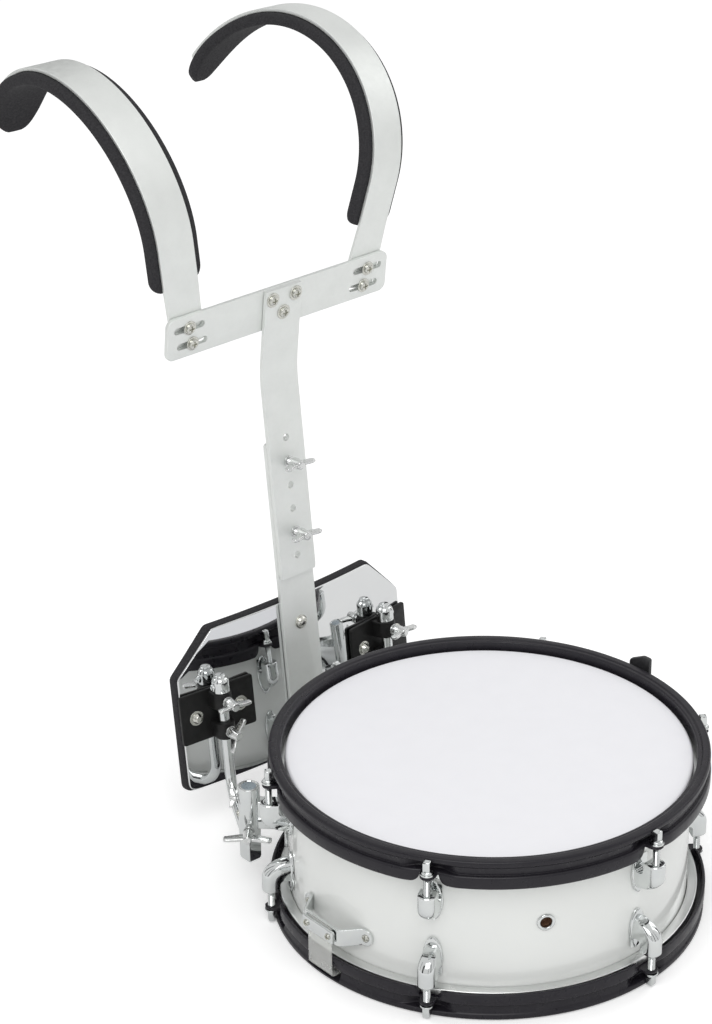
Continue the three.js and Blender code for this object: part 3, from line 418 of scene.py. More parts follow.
castWing = finishOf("castWing", (0.78, 0.79, 0.78), 0.2, 1.0, grain=(0.0016, 0.0001),
                    mottle=(0.004, (0.62, 0.63, 0.63), 0.7), smudge=(0.003, 0.12, 0.3))
blackLever = finishOf("blackLever", (0.02, 0.02, 0.022), 0.42, grain=(0.0012, 0.00006),
                      mottle=(0.008, (0.036, 0.036, 0.038), 0.6), smudge=(0.004, 0.36, 0.5))
blackCast = finishOf("blackCast", (0.007, 0.007, 0.007), 0.45, grain=(0.0014, 0.00012),
                     mottle=(0.006, (0.013, 0.013, 0.013), 0.6), smudge=(0.004, 0.36, 0.55),
                     Specular_IOR_Level=0.3)
mirrorSteel = finishOf("mirrorSteel", (0.76, 0.77, 0.77), 0.02, 1.0, mottle=(0.05, (0.72, 0.73, 0.74), 0.5),
                       smudge=(0.03, 0.012, 0.035))
blastedAluminium = finishOf("blastedAluminium", (0.84, 0.86, 0.84), 0.52, 0.75, grain=(0.0007, 0.00005),
                            mottle=(0.02, (0.79, 0.81, 0.79), 0.6), smudge=(0.004, 0.46, 0.6))
fleshMetal = finishOf("fleshMetal", (0.8, 0.81, 0.8), 0.3, 1.0, grain=(0.004, 0.000012),
                      mottle=(0.02, (0.75, 0.76, 0.75), 0.5), smudge=(0.01, 0.27, 0.34))
darkFoam = finishOf("darkFoam", (0.02, 0.0195, 0.022), 0.9, grain=(0.0012, 0.0005),
                    mottle=(0.0015, (0.04, 0.039, 0.042), 0.9), smudge=(0.002, 0.8, 1.0),
                    Specular_IOR_Level=0.3)
drawnWire = finishOf("drawnWire", (0.72, 0.73, 0.73), 0.24, 1.0, grain=(0.001, 0.00003),
                     mottle=(0.004, (0.6, 0.61, 0.62), 0.6), smudge=(0.003, 0.18, 0.32))
clearStrip = finishOf("clearStrip", (0.97, 0.975, 0.955), 0.2, grain=(0.003, 0.00002),
                      mottle=(0.01, (0.93, 0.94, 0.92), 0.6), smudge=(0.006, 0.16, 0.3),
                      Transmission_Weight=0.72, IOR=1.04)
rawWood = finishOf("rawWood", (0.2, 0.105, 0.06), 0.7, grain=(0.001, 0.0001, (1, 1, 0.15)),
                   mottle=(0.003, (0.12, 0.06, 0.035), 0.9), smudge=(0.003, 0.6, 0.8))
capGrey = finishOf("capGrey", (0.36, 0.42, 0.46), 0.3, 0.6, grain=(0.002, 0.00003),
                   mottle=(0.004, (0.3, 0.35, 0.4), 0.6), smudge=(0.003, 0.24, 0.4))
print("materials made")


# Drum.

shellSizes = {"radius": 163, "wall": 7, "bottom": 9.5, "depth": 127, "bearing": 2, "steps": 288, "rows": 22}
shellTop = shellSizes["bottom"] + shellSizes["depth"]
seatGap = 0.3
hoopSizes = {"wall": 167, "sheet": 2.2, "rise": 15.2, "rimReach": 10.6, "rimHeight": 5, "skirt": 178.2,
             "drop": 8.6, "rodCircle": 181, "earReach": 5, "earHalf": 6.6, "notchStart": 7.6, "notchEnd": 15,
             "curl": 16, "curlIn": 2.6, "lip": 0.4, "firstTurn": -149, "lugs": 6}
gateSizes = {"half": 19, "floor": 2.6, "top": 12.4, "round": 1.2, "turns": (-1, 179)}
hoopSeat = shellTop + seatGap + 0.5 + 6.7 - hoopSizes["rise"]
lugTurns = [hoopSizes["firstTurn"] + 60 * i for i in range(hoopSizes["lugs"])]
ventSizes = {"turn": -118.4, "height": 78, "bore": 4.6, "sleeve": 5.4, "flange": 7.5, "rim": 1.4, "sink": 2.2}


def station(degrees, radius=0, height=0):
    # A frame whose +X points out from the drum's axis.
    return turnedAbout("z", degrees) @ shifted(radius, 0, height)


ventPose = station(ventSizes["turn"], shellSizes["radius"], ventSizes["height"]) @ turnedAbout("y", 90)


def buildShell():
    s = shellSizes
    inner, bevel, edge = s["radius"] - s["wall"], s["wall"] - s["bearing"], s["radius"] - s["bearing"]
    side = [(s["radius"], z)
            for z in np.linspace(s["bottom"] + s["bearing"], shellTop - s["bearing"], s["rows"])]
    profile = [(inner, s["bottom"] + bevel), (edge, s["bottom"]), *side, (edge, shellTop),
               (inner, shellTop - bevel)]
    drill = moved(cylinder(ventSizes["sleeve"] - 0.2, *even(12), 48), ventPose)
    piece("shell_wrapped", latheRing(profile, s["steps"]), whiteWrap, "drum", ["shell"],
          sharpAngle=30, cuts=[drill])


def buildVent():
    v = ventSizes
    wood = v["sleeve"] - 0.5
    profile = softened([
        (v["bore"], -v["sink"]), (v["sleeve"] - 0.3, -v["sink"]), (v["sleeve"] - 0.3, 0.3),
        (v["flange"], 0.3),
        (v["flange"] - 0.6, v["rim"]), (v["bore"] + 0.8, v["rim"] + 0.3), (v["bore"], v["rim"] - 0.4),
    ], 0.5)
    piece("vent_ring", moved(latheRing(profile), ventPose), chrome, "drum", ["vent_grommet"])
    sleeve = latheRing([(v["bore"], -7.0), (wood, -7.0), (wood, -2.3), (v["bore"], -2.3)], 48)
    for name, solid in (("vent_wood_edge", sleeve), ("vent_inside_wood", cylinder(wood, -7.2, -7.05, 48))):
        piece(name, moved(solid, ventPose), rawWood, "drum")


def buildHead(name, node, over, finish):
    # The film lies on the bearing edge, rolls over it and runs down into the flesh hoop.
    r, steps = shellSizes["radius"], shellSizes["steps"]
    filmTop, filmBottom = shellTop + 0.8, shellTop + 0.3
    fleshTop = hoopSeat - seatGap
    flat = [(x, filmTop - 0.0006 * max(0, x - 120) ** 0.5) for x in np.linspace(0, 150, 12)]
    outside = softened([(150, filmTop), (r + 1.1, filmTop - 0.05), (r + 1.1, fleshTop),
                        (r + 3, fleshTop - 0.3)],
                       [1, 3.2, 1.4, 1], 6, closed=False)
    inside = softened([(r + 3, fleshTop - 0.8), (r + 0.5, fleshTop - 0.8), (r + 0.5, filmBottom),
                       (0, filmBottom)],
                      [0.3, 0.6, 2.4, 1], 6, closed=False)
    film = lathe(np.concatenate([np.array(flat), outside[1:], inside]), steps)
    ring = latheRing(softened([(r + 0.6, fleshTop - 6.2), (r + 8.9, fleshTop - 6.2),
                               (r + 8.9, fleshTop - 0.02),
                               (r + 1.4, fleshTop - 0.02), (r + 1.4, fleshTop - 0.9),
                               (r + 0.6, fleshTop - 0.9)],
                              [0.8, 1.2, 1.2, 0.3, 0.2, 0.2], 4), steps)
    place = np.eye(4)
    if over:  # the snare-side head is the same piece turned over, with its film drawn to the lower edge
        twice = hoopSizes["rise"] + hoopSeat
        place = shifted(0, 0, twice) @ turnedOver
        draw = (shellSizes["bottom"] - seatGap - 0.5) - (twice - filmTop)
        points, quads, tris = film
        share = np.clip((points[:, 2] - fleshTop) / (filmTop - fleshTop), 0, 1)
        film = points - share[:, None] * [0, 0, draw], quads, tris
    piece(name + "_film", moved(film, place), finish, "drum", [node], sharpAngle=50)
    piece(name + "_flesh_hoop", moved(ring, place), fleshMetal, "drum")


def hoopRings():
    # Stations round the drum, bunched near the ears. At an ear the flange grows out in a half round; beside
    # it the skirt starts with a rounded end that also curls inward. Both follow the arc length from the ear.
    h = hoopSizes
    near = np.concatenate([np.linspace(0, 0.22, 60), np.linspace(0.22, 1, 41)[1:]])[:-1]
    half = np.concatenate([-near[::-1][:-1], near]) * 30
    angle = np.radians(np.concatenate([turn + half for turn in lugTurns]))
    arc = np.abs(np.radians(np.tile(half, h["lugs"]))) * h["skirt"]
    past = arc - h["notchStart"]
    fall = np.sqrt(1 - (1 - np.clip(past / (h["notchEnd"] - h["notchStart"]), 0, 1)) ** 2)
    filled = np.clip(past / h["curl"], 0, 1)
    curl = h["curlIn"] * np.sqrt(1 - filled) ** 3
    reach = h["rodCircle"] + h["earReach"] - h["skirt"] + curl
    outer = h["skirt"] - curl + reach * np.sqrt(np.clip(1 - (arc / h["earHalf"]) ** 2.6, 0, 1))
    drop = h["lip"] + (h["drop"] - h["lip"]) * fall
    top, sheet = h["rise"], h["sheet"]
    wall, rim, under = h["wall"], h["wall"] + h["rimReach"], top - h["rimHeight"]
    # Under the rim the side is hollow beside an ear, where the washer sits, and nearly flush elsewhere.
    inside = [(rim, top), (wall + 4.2, top), (wall + 3.4, top - 0.9), (wall, top - 0.8), (wall, 0),
              (wall + sheet + 3.6, 0)]
    hollow = [(wall + sheet + 3.6, sheet), (wall + sheet, sheet), (wall + sheet, under), (rim, under)]
    flush = [(rim - 1.4, sheet), (rim - 2.5, sheet + 0.1), (rim - 1.3, under - 0.8), (rim, under + 0.4)]
    rounds = [0.5, 3.2, 1.4, 2.3, 2.6, 0.9, 0.9, 1.6, 0.6, 0.5]
    # The flange's own end points come from the moving part, `edge`: steps in from the outer radius, heights.
    nearEar, farOff = (softened(line + inside, rounds, 6)[7:-7] for line in (hollow, flush))
    filled = (filled ** 2 * (3 - 2 * filled))[:, None, None]
    edge = [(sheet, 0), (sheet, 0.3 - drop), (sheet - 0.5, -drop), (0.7, -drop), (0.2, 0.25 - drop),
            (0, np.minimum(0.8 - drop, -0.1)), (0, 0), (0.25, sheet - 1.2), (0.9, sheet - 0.45),
            (1.8, sheet - 0.08), (2.6, sheet)]
    moving = np.stack([np.stack(np.broadcast_arrays(outer - x, z), -1) for x, z in edge], 1)
    profile = np.concatenate([moving, nearEar * (1 - filled) + farOff * filled], 1)
    return polar(profile[..., 0], angle[:, None], profile[..., 1])


def buildHoops():
    solid, g = ringsToSolid(hoopRings(), closedPath=True), gateSizes
    gate = box(160, 184, *even(g["half"]), g["floor"], g["top"], g["round"])
    for row, place, turns in (("batter", shifted(0, 0, hoopSeat), ()),
                              ("snare", shifted(0, 0, hoopSizes["rise"]) @ turnedOver, g["turns"])):
        piece(row + "_counter_hoop", moved(solid, place), blackHoop, "drum", [row + "_hoop"],
              sharpAngle=50, cuts=[moved(gate, turnedAbout("z", turn)) for turn in turns])


lugSizes = {"tower": 7.5, "mouthGap": 15.2, "baseWide": 16.4, "baseTall": 36, "baseThick": 2.5,
            "baseRise": 2.4,
            "bore": 3.3, "straight": 12, "fall": 15.2, "archAt": 11.0, "archRound": 4.6, "archDeep": 6.5}


def lugBody(inner):
    # Seen from a station: the rod's axis is the origin and the mouth is at z = 0. The body's outline at a
    # depth d is a capsule from the shell to the rod; below `straight` its front follows the ellipse
    # x = inner + reach * sqrt(1 - ((d - straight) / fall)^2), and it narrows in the same way.
    s = lugSizes
    reach = s["tower"] - inner
    dip = np.sin(np.linspace(0, math.pi / 2, 15)[1:] * 0.985)
    depth = np.concatenate([[0, 0.25, 0.8, 1.6], np.linspace(3, s["straight"], 5),
                            s["straight"] + s["fall"] * dip])
    share = np.sqrt(np.clip(1 - (np.clip(depth - s["straight"], 0, None) / s["fall"]) ** 2, 0, 1))
    mouthRound = np.array([1.1, 0.55, 0.1, *np.zeros(len(depth) - 3)])
    wide = s["tower"] * (0.45 + 0.55 * share ** 0.8) - mouthRound
    front = inner + reach * share - mouthRound
    a = np.linspace(-math.pi / 2, math.pi / 2, 25)
    facet = 1 - 0.035 * (0.5 - 0.5 * np.cos(4 * a + math.pi)) ** 2  # soft flats down the rounded front
    rings = []
    for d, w, x in zip(depth, wide, front):
        long = min(w, max(x - inner, 0.4))
        nose = np.stack([x - long + long * np.cos(a) * facet, w * np.sin(a) * facet], -1)
        back = np.array([(inner, w * facet[-1] * 1.04), (inner, -w * facet[0] * 1.04)])
        rings.append(atHeight(np.concatenate([nose, back]), -d))
    return ringsToSolid(np.stack(rings))


def lugBase(inner):
    # An oval plate whose back follows the shell: x = inner + height - y^2 / 2r.
    s = lugSizes
    rise = np.linspace(0.04, 0.9, 8)
    share = np.concatenate([rise, [0.95, 0.985, 1.0, 1.0, 0.985]])[:, None]
    height = np.concatenate([s["baseThick"] + 0.7 * (1 - rise ** 2), [2.4, 2.0, 1.3, 0.1, 0]])[:, None]
    a, half = ringAngles(56), s["baseTall"] / 2
    y = share * np.cos(a) * s["baseWide"] / 2
    z = share * np.sin(a) * np.abs(np.sin(a)) ** 0.15 * half + s["baseRise"] - half
    return ringsToSolid(np.stack([inner + height - y ** 2 / (2 * shellSizes["radius"]), y, z], -1))


def buildLugMesh():
    s = lugSizes
    inner = shellSizes["radius"] + seatGap - hoopSizes["rodCircle"]
    made = solidObject("lugMaster", lugBody(inner + 1.0))
    # Behind the mouth an arch opens between the tower and the shell.
    curve = s["archRound"]
    left, right, deep = -s["archAt"] - curve, -s["archAt"] + curve, -s["archDeep"] - curve
    arch = softened([(left, 2), (left, deep), (right, deep), (right, 2)], [0.1, 4.4, 4.4, 0.1], 8)
    combine(made, moved(slab(arch, *even(14), 0.01, 1), standing), "DIFFERENCE")
    combine(made, lugBase(inner), "UNION")
    bore = lathe([(0, -14), (s["bore"], -14), (s["bore"], -0.9), (s["bore"] + 1.1, 0.6), (0, 0.6)], 40)
    combine(made, bore, "DIFFERENCE")
    shade(made.data, 30)
    mesh = made.data
    bpy.data.objects.remove(made)
    return mesh


def placed(name, source, matrix, material, body, stands, slot):
    # A copy of a mesh built at the origin, moved in the drum's frame.
    mesh = source.copy()
    mesh.materials.clear()
    mesh.materials.append(material)
    inMetres = np.array(matrix, float)
    inMetres[:3, 3] *= 0.001
    at = shifted(*drumAt)
    mesh.transform(Matrix((at @ inMetres @ np.linalg.inv(at)).tolist()))
    if np.linalg.det(inMetres[:3, :3]) < 0:
        mesh.flip_normals()
    made = linked(name, mesh)
    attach(made, body)
    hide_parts(*stands)


rodSizes = {"radius": 2.9, "length": 29, "washer": 5.5, "washerThick": 1.2, "head": 3.3, "flange": 4.5,
            "cut": 0.45}


def rodSolid():
    # Washer on the ear, a round flange, a square key head with soft corners, and a threaded shank below.
    s = rodSizes
    r, washerTop = s["radius"], 0.3 + s["washerThick"]
    z = -np.linspace(3, s["length"] - 1, int(s["length"] - 4) * 2 + 1)
    thread = [(r - (s["cut"] if k % 2 else 0), v) for k, v in enumerate(z)]
    shank = lathe([(0, -s["length"]), (r - 0.8, -s["length"]), *thread[::-1], (r, 0.3), (r, 1.6), (0, 1.6)],
                  20)
    flange = turned([(0, 1.5), (s["flange"], 1.5), (s["flange"], 2.9), (s["head"] - 0.6, 3.6), (0, 3.6)],
                    [0.1, 0.3, 0.5, 0.3, 0.1], 3, 32)
    level = np.array([3.2, 4.0, 10.8, 11.5, 11.9, 12.0])[:, None]
    share = np.array([0.9, 1.0, 1.0, 0.95, 0.8, 0.5])[:, None]
    a = ringAngles(32)
    square = s["head"] * 0.9 / np.maximum(np.abs(np.cos(a)), np.abs(np.sin(a))) ** 0.72
    return joined(shank, washerRing(r + 0.1, s["washer"], 0.3, washerTop, 0.35, 36), flange,
                  ringsToSolid(polar(share * square, a, level)))


def buildLugsAndRods():
    lug, rod = buildLugMesh(), rodSolid()
    h, gap = hoopSizes, lugSizes["mouthGap"]
    for row, mouth, ear, turn in (("batter", hoopSeat - gap, hoopSeat + h["sheet"], np.eye(4)),
                                  ("snare", h["rise"] + gap, h["rise"] - h["sheet"], turnedOver)):
        for k, degrees in enumerate(lugTurns, 1):
            placed(f"{row}_tube_lug_{k}", lug, station(degrees, h["rodCircle"], mouth) @ turn, chrome, "drum",
                   [f"{row}_lug_{k}"], "chrome")
            piece(f"{row}_key_rod_{k}", moved(rod, station(degrees, h["rodCircle"], ear) @ turn), chrome,
                  f"{row}_rod_{k}", [f"{row}_tension_rod_{k}"], sharpAngle=40)


buildShell()
buildVent()
buildHead("batter_coated", "batter_head", False, coatedFilm)
buildHead("snare_side", "snare_head", True, clearFilm)
buildHoops()
buildLugsAndRods()
print("drum made")


# Carrier frames.

carrierSizes = {"lean": 6.28, "standoff": 228.2, "reference": 100, "yokeLean": 6.5, "bend": 289, "head": 77.5,
                "sheet": 4, "drop": 0.5}
plateSizes = {"half": 124, "bottom": -57.3, "top": 83, "chamfer": 36.6, "foot": 7, "thick": 2, "bow": 11.3,
              "pad": 9, "padRound": 2.6, "crown": 0.6, "overhang": 1.6}
rodHang = {"radius": 4.75, "spread": 93, "standoff": 12, "foot": 38, "bend": 20, "insertion": 6}
carrierPose = (shifted(0, carrierSizes["standoff"], carrierSizes["reference"])
               @ turnedAbout("x", -carrierSizes["lean"]))
stemFront = -2 * seatGap - 2 * carrierSizes["sheet"]
yokeTurn = carrierSizes["lean"] + carrierSizes["yokeLean"]
yokePose = carrierPose @ shifted(0, stemFront, carrierSizes["bend"]) @ turnedAbout("x", yokeTurn)
yokeRise = carrierSizes["head"] - carrierSizes["drop"]
crossbarPose = yokePose @ shifted(0, carrierSizes["sheet"] + seatGap, yokeRise)
barPose = crossbarPose @ shifted(0, carrierSizes["sheet"] + seatGap + 1.5, 0)
bowRadius = (plateSizes["half"] ** 2 + plateSizes["bow"] ** 2) / (2 * plateSizes["bow"])


def bowAt(x):
    return bowRadius - np.sqrt(bowRadius ** 2 - np.asarray(x, float) ** 2)


# Belly plate and pad.

def plateOutline(grow, count=320):
    p = plateSizes
    x, bottom, top, corner = p["half"] + grow, p["bottom"] - grow, p["top"] + grow, p["top"] - p["chamfer"]
    points = softened([(x, corner), (x - p["chamfer"], top), (p["chamfer"] - x, top), (-x, corner),
                       (-x, bottom), (x, bottom)], [3, 3, 3, 3, p["foot"], p["foot"]], 8)
    closedLine = np.concatenate([points, points[:1]])
    length = runLength(closedLine)
    at = np.arange(count) / count * length[-1]
    return np.stack([np.interp(at, length, closedLine[:, k]) for k in (0, 1)], -1)


def bowedSheet(grow, front, back, edge, crown=0.0):
    # Rings grow from the middle to the outline on the front, and shrink again on the rear face, which
    # swells by `crown`. The bow bends each point back, and the rims are quarter rounds.
    outline = plateOutline(grow)
    middle = np.array([0.0, (plateSizes["top"] + plateSizes["bottom"]) / 2])
    flat = inset(outline, edge) - middle
    t = np.linspace(0, math.pi / 2, 6)
    shares = np.linspace(0.02, 1, 36)[:-1]
    levels = [(middle + flat * k, front) for k in shares]
    levels += [(inset(outline, edge * (1 - math.sin(v))), front + edge * (1 - math.cos(v))) for v in t]
    levels += [(inset(outline, edge * (1 - math.cos(v))), back - edge * (1 - math.sin(v))) for v in t]
    levels += [(middle + flat * k, back + crown * (1 - k ** 6)) for k in shares[::-1]]
    return ringsToSolid(np.stack([
        np.stack([ring[:, 0], bowAt(ring[:, 0]) + depth, ring[:, 1]], -1) for ring, depth in levels
    ]))


def buildBelly():
    p = plateSizes
    plate = moved(bowedSheet(0, 0, p["thick"], 0.6), carrierPose)
    piece("mirror_plate", plate, mirrorSteel, "carrier", ["belly_plate"], sharpAngle=60)
    front = p["thick"] + seatGap
    foam = moved(bowedSheet(p["overhang"], front, front + p["pad"], p["padRound"], p["crown"]), carrierPose)
    pad = piece("belly_foam", foam, darkFoam, "carrier", ["belly_pad"], sharpAngle=60)


# Stem, crossbar and shoulder bars.

sides = ((-1, "left"), (1, "right"))

stemSizes = {"half": 19, "sheet": 4, "lowerBottom": -46, "lowerTop": 228.4, "slotHalf": 3.6,
             "slotBottom": 110,
             "slotTop": 219, "upperBottom": 107, "hole": 3.2, "pitch": 21.15, "topHole": 230.5, "holes": 6,
             "bendEase": 14.0, "boltHeight": 61.6}
crossbarSizes = {"half": 117, "height": 36.5, "corner": 7, "slotAt": 93.2, "slotLong": 31, "slotWide": 6,
                 "slotRise": 7.4}
hookSizes = {"width": 32.6, "sheet": 3, "splay": 13.3, "leftLean": 2.6, "twist": -12.4, "middle": 96.2,
             "foot": 30,
             "straight": 61, "startRadius": 101, "endRadius": 140.5, "toe": 3.8, "angle": 163.6, "steps": 18,
             "barShort": 1, "padWidth": 48, "padDepth": 10, "padStart": 24, "padEnd": 62, "padFoot": 12}


def buildStems():
    s = stemSizes
    back, front = -2 * seatGap - s["sheet"], stemFront
    slot = panel(standing, even(s["slotHalf"]), (s["slotBottom"], s["slotTop"]), (-9, 3), s["slotHalf"] - 0.1,
                 0.01)
    lower = panel(standing, even(s["half"]), (s["lowerBottom"], s["lowerTop"]), (back + seatGap, -seatGap),
                  3.0)
    # Upper stem: a flat section carried up its middle line, which bends with a short round.
    middleY = (back + front) / 2
    turn = math.radians(yokeTurn)
    cornerCut = s["sheet"] / 2 * math.tan(turn / 2)
    up, lean = np.array([0, 0, 1.0]), np.array([0, -math.sin(turn), math.cos(turn)])
    start = np.array([0, middleY, s["upperBottom"]])
    corner = np.array([0, middleY, carrierSizes["bend"] + cornerCut])
    head = corner + lean * (carrierSizes["head"] - cornerCut)
    a, b = corner - up * s["bendEase"], corner + lean * s["bendEase"]
    t = np.linspace(0, 1, 12)[1:-1, None]
    bend = (1 - t) ** 2 * a + 2 * t * (1 - t) * corner + t ** 2 * b
    places = np.concatenate([np.linspace(start, a, 40), bend, np.linspace(b, head, 12)])
    shares = np.ones(len(places))
    shares[[0, -1]] = 0.96
    upper = swept(places, [1.0, 0, 0], flatSection(s["half"], s["sheet"] / 2, 0.8), shares)
    hole = moved(cylinder(s["hole"], front - 3, back + 3, 28), standing)
    holes = [moved(hole, shifted(0, 0, s["topHole"] - k * s["pitch"])) for k in range(s["holes"])]
    for name, bar, body, cuts in (("lower", lower, "carrier", [slot]), ("upper", upper, "mast", holes)):
        piece(name + "_stem_bar", moved(bar, carrierPose), blastedAluminium, body, [name + "_stem"],
              cuts=[moved(cut, carrierPose) for cut in cuts])


def slotCentres():
    # Two slots a side, one above the other, in line with the leaning shoulder bar.
    c = crossbarSizes
    lean = math.tan(math.radians(hookSizes["splay"]))
    return [(side, side * (c["slotAt"] + row * c["slotRise"] * lean), row * c["slotRise"] - c["height"] / 2)
            for side in (-1, 1) for row in (-1, 1)]


def buildCrossbar():
    c = crossbarSizes
    bar = panel(standing, even(c["half"]), (-c["height"], 0), (0, carrierSizes["sheet"]), c["corner"], 0.7, 4,
                10)
    slot = panel(standing, even(c["slotLong"] / 2), even(c["slotWide"] / 2), (-3, 8), c["slotWide"] / 2 - 0.1,
                 0.01)
    piece("slotted_crossbar", moved(bar, crossbarPose), blastedAluminium, "mast", ["crossbar"],
          cuts=[moved(slot, crossbarPose @ shifted(x, 0, z)) for _, x, z in slotCentres()])


def hookPath(side, start, stop, fine=10):
    # The bar runs straight up from its foot, then round an arc whose radius grows with the angle, twisting
    # slowly. It turns in by the toe angle between the crossbar's top edge and the pad's foot.
    h = hookSizes
    splay, toe = math.radians(h["splay"] - (h["leftLean"] if side < 0 else 0)), math.radians(h["toe"])
    up, level = np.array([side * math.sin(splay), 0, math.cos(splay)]), np.array([0, 1.0, 0])
    back = spun(level, up, side * toe)
    heights = np.unique(np.concatenate([np.linspace(start, h["straight"], 40), [0.0, h["padStart"]]]))
    heights = heights[heights >= start]
    share = np.clip(heights / h["padStart"], 0, 1)[:, None]
    straightPlaces = [side * h["middle"], 0, 0] + heights[:, None] * up
    through = unit(level * (1 - share) + back * share)
    straightAcross = np.cross(np.broadcast_to(up, through.shape), through)
    whole, arcSteps = math.radians(h["angle"]), h["steps"] * fine
    bend = np.arange(1, int((h["steps"] - stop) * fine) + 1) * whole / arcSteps
    half = whole / arcSteps / 2
    growth = h["endRadius"] - h["startRadius"]
    radius = h["startRadius"] + growth * ((bend - half) / whole - 0.5 / h["steps"])
    along = lambda v: np.cos(v)[:, None] * up + np.sin(v)[:, None] * back
    arcPlaces = straightPlaces[-1] + np.cumsum(along(bend - half) * (radius * 2 * half)[:, None], axis=0)
    forward = along(bend)
    twist = side * math.radians(h["twist"]) * bend / whole
    arcAcross = spun(np.broadcast_to(np.cross(up, back), forward.shape), forward, twist)
    arcThrough = spun(along(bend + math.pi / 2), forward, twist)
    return (np.concatenate([straightPlaces, arcPlaces]), np.concatenate([straightAcross, arcAcross]),
            np.concatenate([through, arcThrough]))


def padSection(half, depth, sideRound=4):
    # A soft rectangle: round sides, and a face toward the shoulder that swells a little.
    flat = np.linspace(-1, 1, 15)[1:-1]
    a = np.linspace(-math.pi / 2, math.pi / 2, 10)
    inner = [(x * half * 0.9, depth / 2 + 0.35 * (1 - x * x)) for x in flat]
    outer = [(x * half * 0.9, -depth / 2) for x in flat]
    right = [(half - sideRound * (1 - math.cos(v)), depth / 2 * math.sin(v)) for v in a]
    return np.array([*outer, *right, *inner[::-1], *((-x, -y) for x, y in right)])


def buildHook(side, name):
    h = hookSizes
    body = name + "_hook"
    places, across, through = hookPath(side, -h["foot"], h["barShort"])
    length = runLength(places)
    bar = carried(places, across, through, flatSection(h["width"] / 2, h["sheet"] / 2, 0.7),
                  rounding(length[-1] - length, 5, depth=0.3))
    piece(body + "_bar", moved(bar, barPose), blastedAluminium, body, [name + "_shoulder_bar"],
          sharpAngle=40)
    # The foam pad narrows to a round end and is rounded at its foot.
    places, across, through = hookPath(side, h["padStart"], 0)
    length = runLength(places)
    toEnd = length[-1] - length
    wide = rounding(toEnd, h["padEnd"], 2.6, 0.985) * (0.62 + 0.38 * rounding(length, h["padFoot"]))
    thin = np.minimum(0.45 + 0.55 * rounding(toEnd, 8), 0.5 + 0.5 * rounding(length, 4))
    middle = places + through * (h["sheet"] / 2 + seatGap + h["padDepth"] / 2)
    foam = carried(middle, across, through, padSection(h["padWidth"] / 2, h["padDepth"]), wide, thin)
    pad = piece(name + "_shoulder_foam", moved(foam, barPose), darkFoam, body, [name + "_shoulder_pad"],
                sharpAngle=60)


# Screws.

wingSizes = {"thread": 2.8, "hub": 5.0, "hubLong": 11, "reach": 15.5, "receiverReach": 20, "thick": 3.0,
             "root": 9, "tip": 5, "flare": 6, "washer": 1.2, "near": 4, "far": 7, "nut": 6, "nutHigh": 3.6}


def threadSolid(radius, low, high):
    # A ridge every millimetre.
    z = np.linspace(low + 0.4, high, max(2, int((high - low) * 2)) + 1)
    ridge = [(radius - (0.4 if k % 2 else 0), v) for k, v in enumerate(z)]
    return lathe([(0, low), (radius - 0.9, low), *ridge, (0, high)], 20)


def hexNut(radius, low, high):
    # A six-sided prism whose corners are turned down to a circle on both faces.
    a = ringAngles(72)
    flat = radius * 0.9 / np.cos((a + math.pi / 6) % (math.pi / 3) - math.pi / 6)
    share, level = np.array([(0.84, low), (0.93, low), (1.0, low + 0.7), (1.0, high - 0.7), (0.93, high),
                             (0.84, high)]).T[:, :, None]
    return ringsToSolid(polar(np.minimum(flat, radius * share), a, level))


def wingScrewSolid(depth, standoff, reach, nut=False):
    # Axis +Z, seated at z = 0: thread, washer, a tapered domed hub and two round-ended wings.
    w = wingSizes
    top, flare, root = standoff + w["hubLong"], standoff + w["flare"], standoff + w["root"]
    hub = turned([(0, standoff), (w["hub"], standoff), (w["hub"] - 0.2, standoff + 3), (3.7, top - 0.6),
                  (2.6, top), (0, top)], [0.1, 0.9, 1.5, 1.2, 0.8, 0.1], 5, 36)
    washer = washerRing(w["thread"] + 0.1, w["hub"], 0.3, 0.3 + w["washer"], 0.35, 32)
    ear = softened([
        (0.5, standoff + 1.2), (w["hub"] - 0.4, standoff + 0.9), (reach - 4, flare - 1.6),
        (reach, flare - 0.6),
        (reach, flare + w["tip"]), (reach - 4.5, flare + w["tip"] + 0.6), (w["hub"] - 0.6, root + 0.4),
        (0.5, root + 0.6),
    ], [0.3, 2.5, 3.5, 3.2, 3.2, 3.5, 3.0, 0.3], 6)
    wing = moved(slab(ear, *even(w["thick"] / 2), 1.1, 4), standing)
    pieces = [threadSolid(w["thread"], -depth, standoff + 0.5), washer, hub, wing, moved(wing, sideMirror)]
    if nut:
        pieces.append(hexNut(w["nut"], -depth + 1.0, -depth + w["nutHigh"]))
    return joined(*pieces)


def panHead(radius=4.6, height=2.6, washer=6.4):
    # Axis +Z, seated at z = 0. The crown falls with the square of the radius, less a cross-shaped recess.
    t = np.concatenate([np.linspace(0.02, 0.72, 22), np.linspace(0.76, 1, 8)])[:, None]
    recess, armHalf, armReach = 1.5, 0.75, 2.7
    x, y, _ = np.moveaxis(polar(radius * t, ringAngles(72)[None], 0), -1, 0)
    crown = height * (1 - 0.34 * t ** 2) * rounding(1 - t, 0.1)
    arm = lambda u, v: (np.clip((armHalf - np.abs(u)) / 0.25, 0, 1)
                        * np.clip((armReach - np.abs(v)) / 0.4, 0, 1))
    z = np.maximum(crown - recess * np.maximum(arm(x, y), arm(y, x)), 0.0)
    x, y, z = np.vstack([x, x[-1:]]), np.vstack([y, y[-1:]]), np.vstack([z, np.full_like(z[-1:], -0.6)])
    crossTop = ringsToSolid(np.stack([x, y, z], -1), ends=((0, 0, height - recess), None))
    return joined(crossTop, washerRing(1.5, washer, -0.9, 0.05, 0.3, 40))


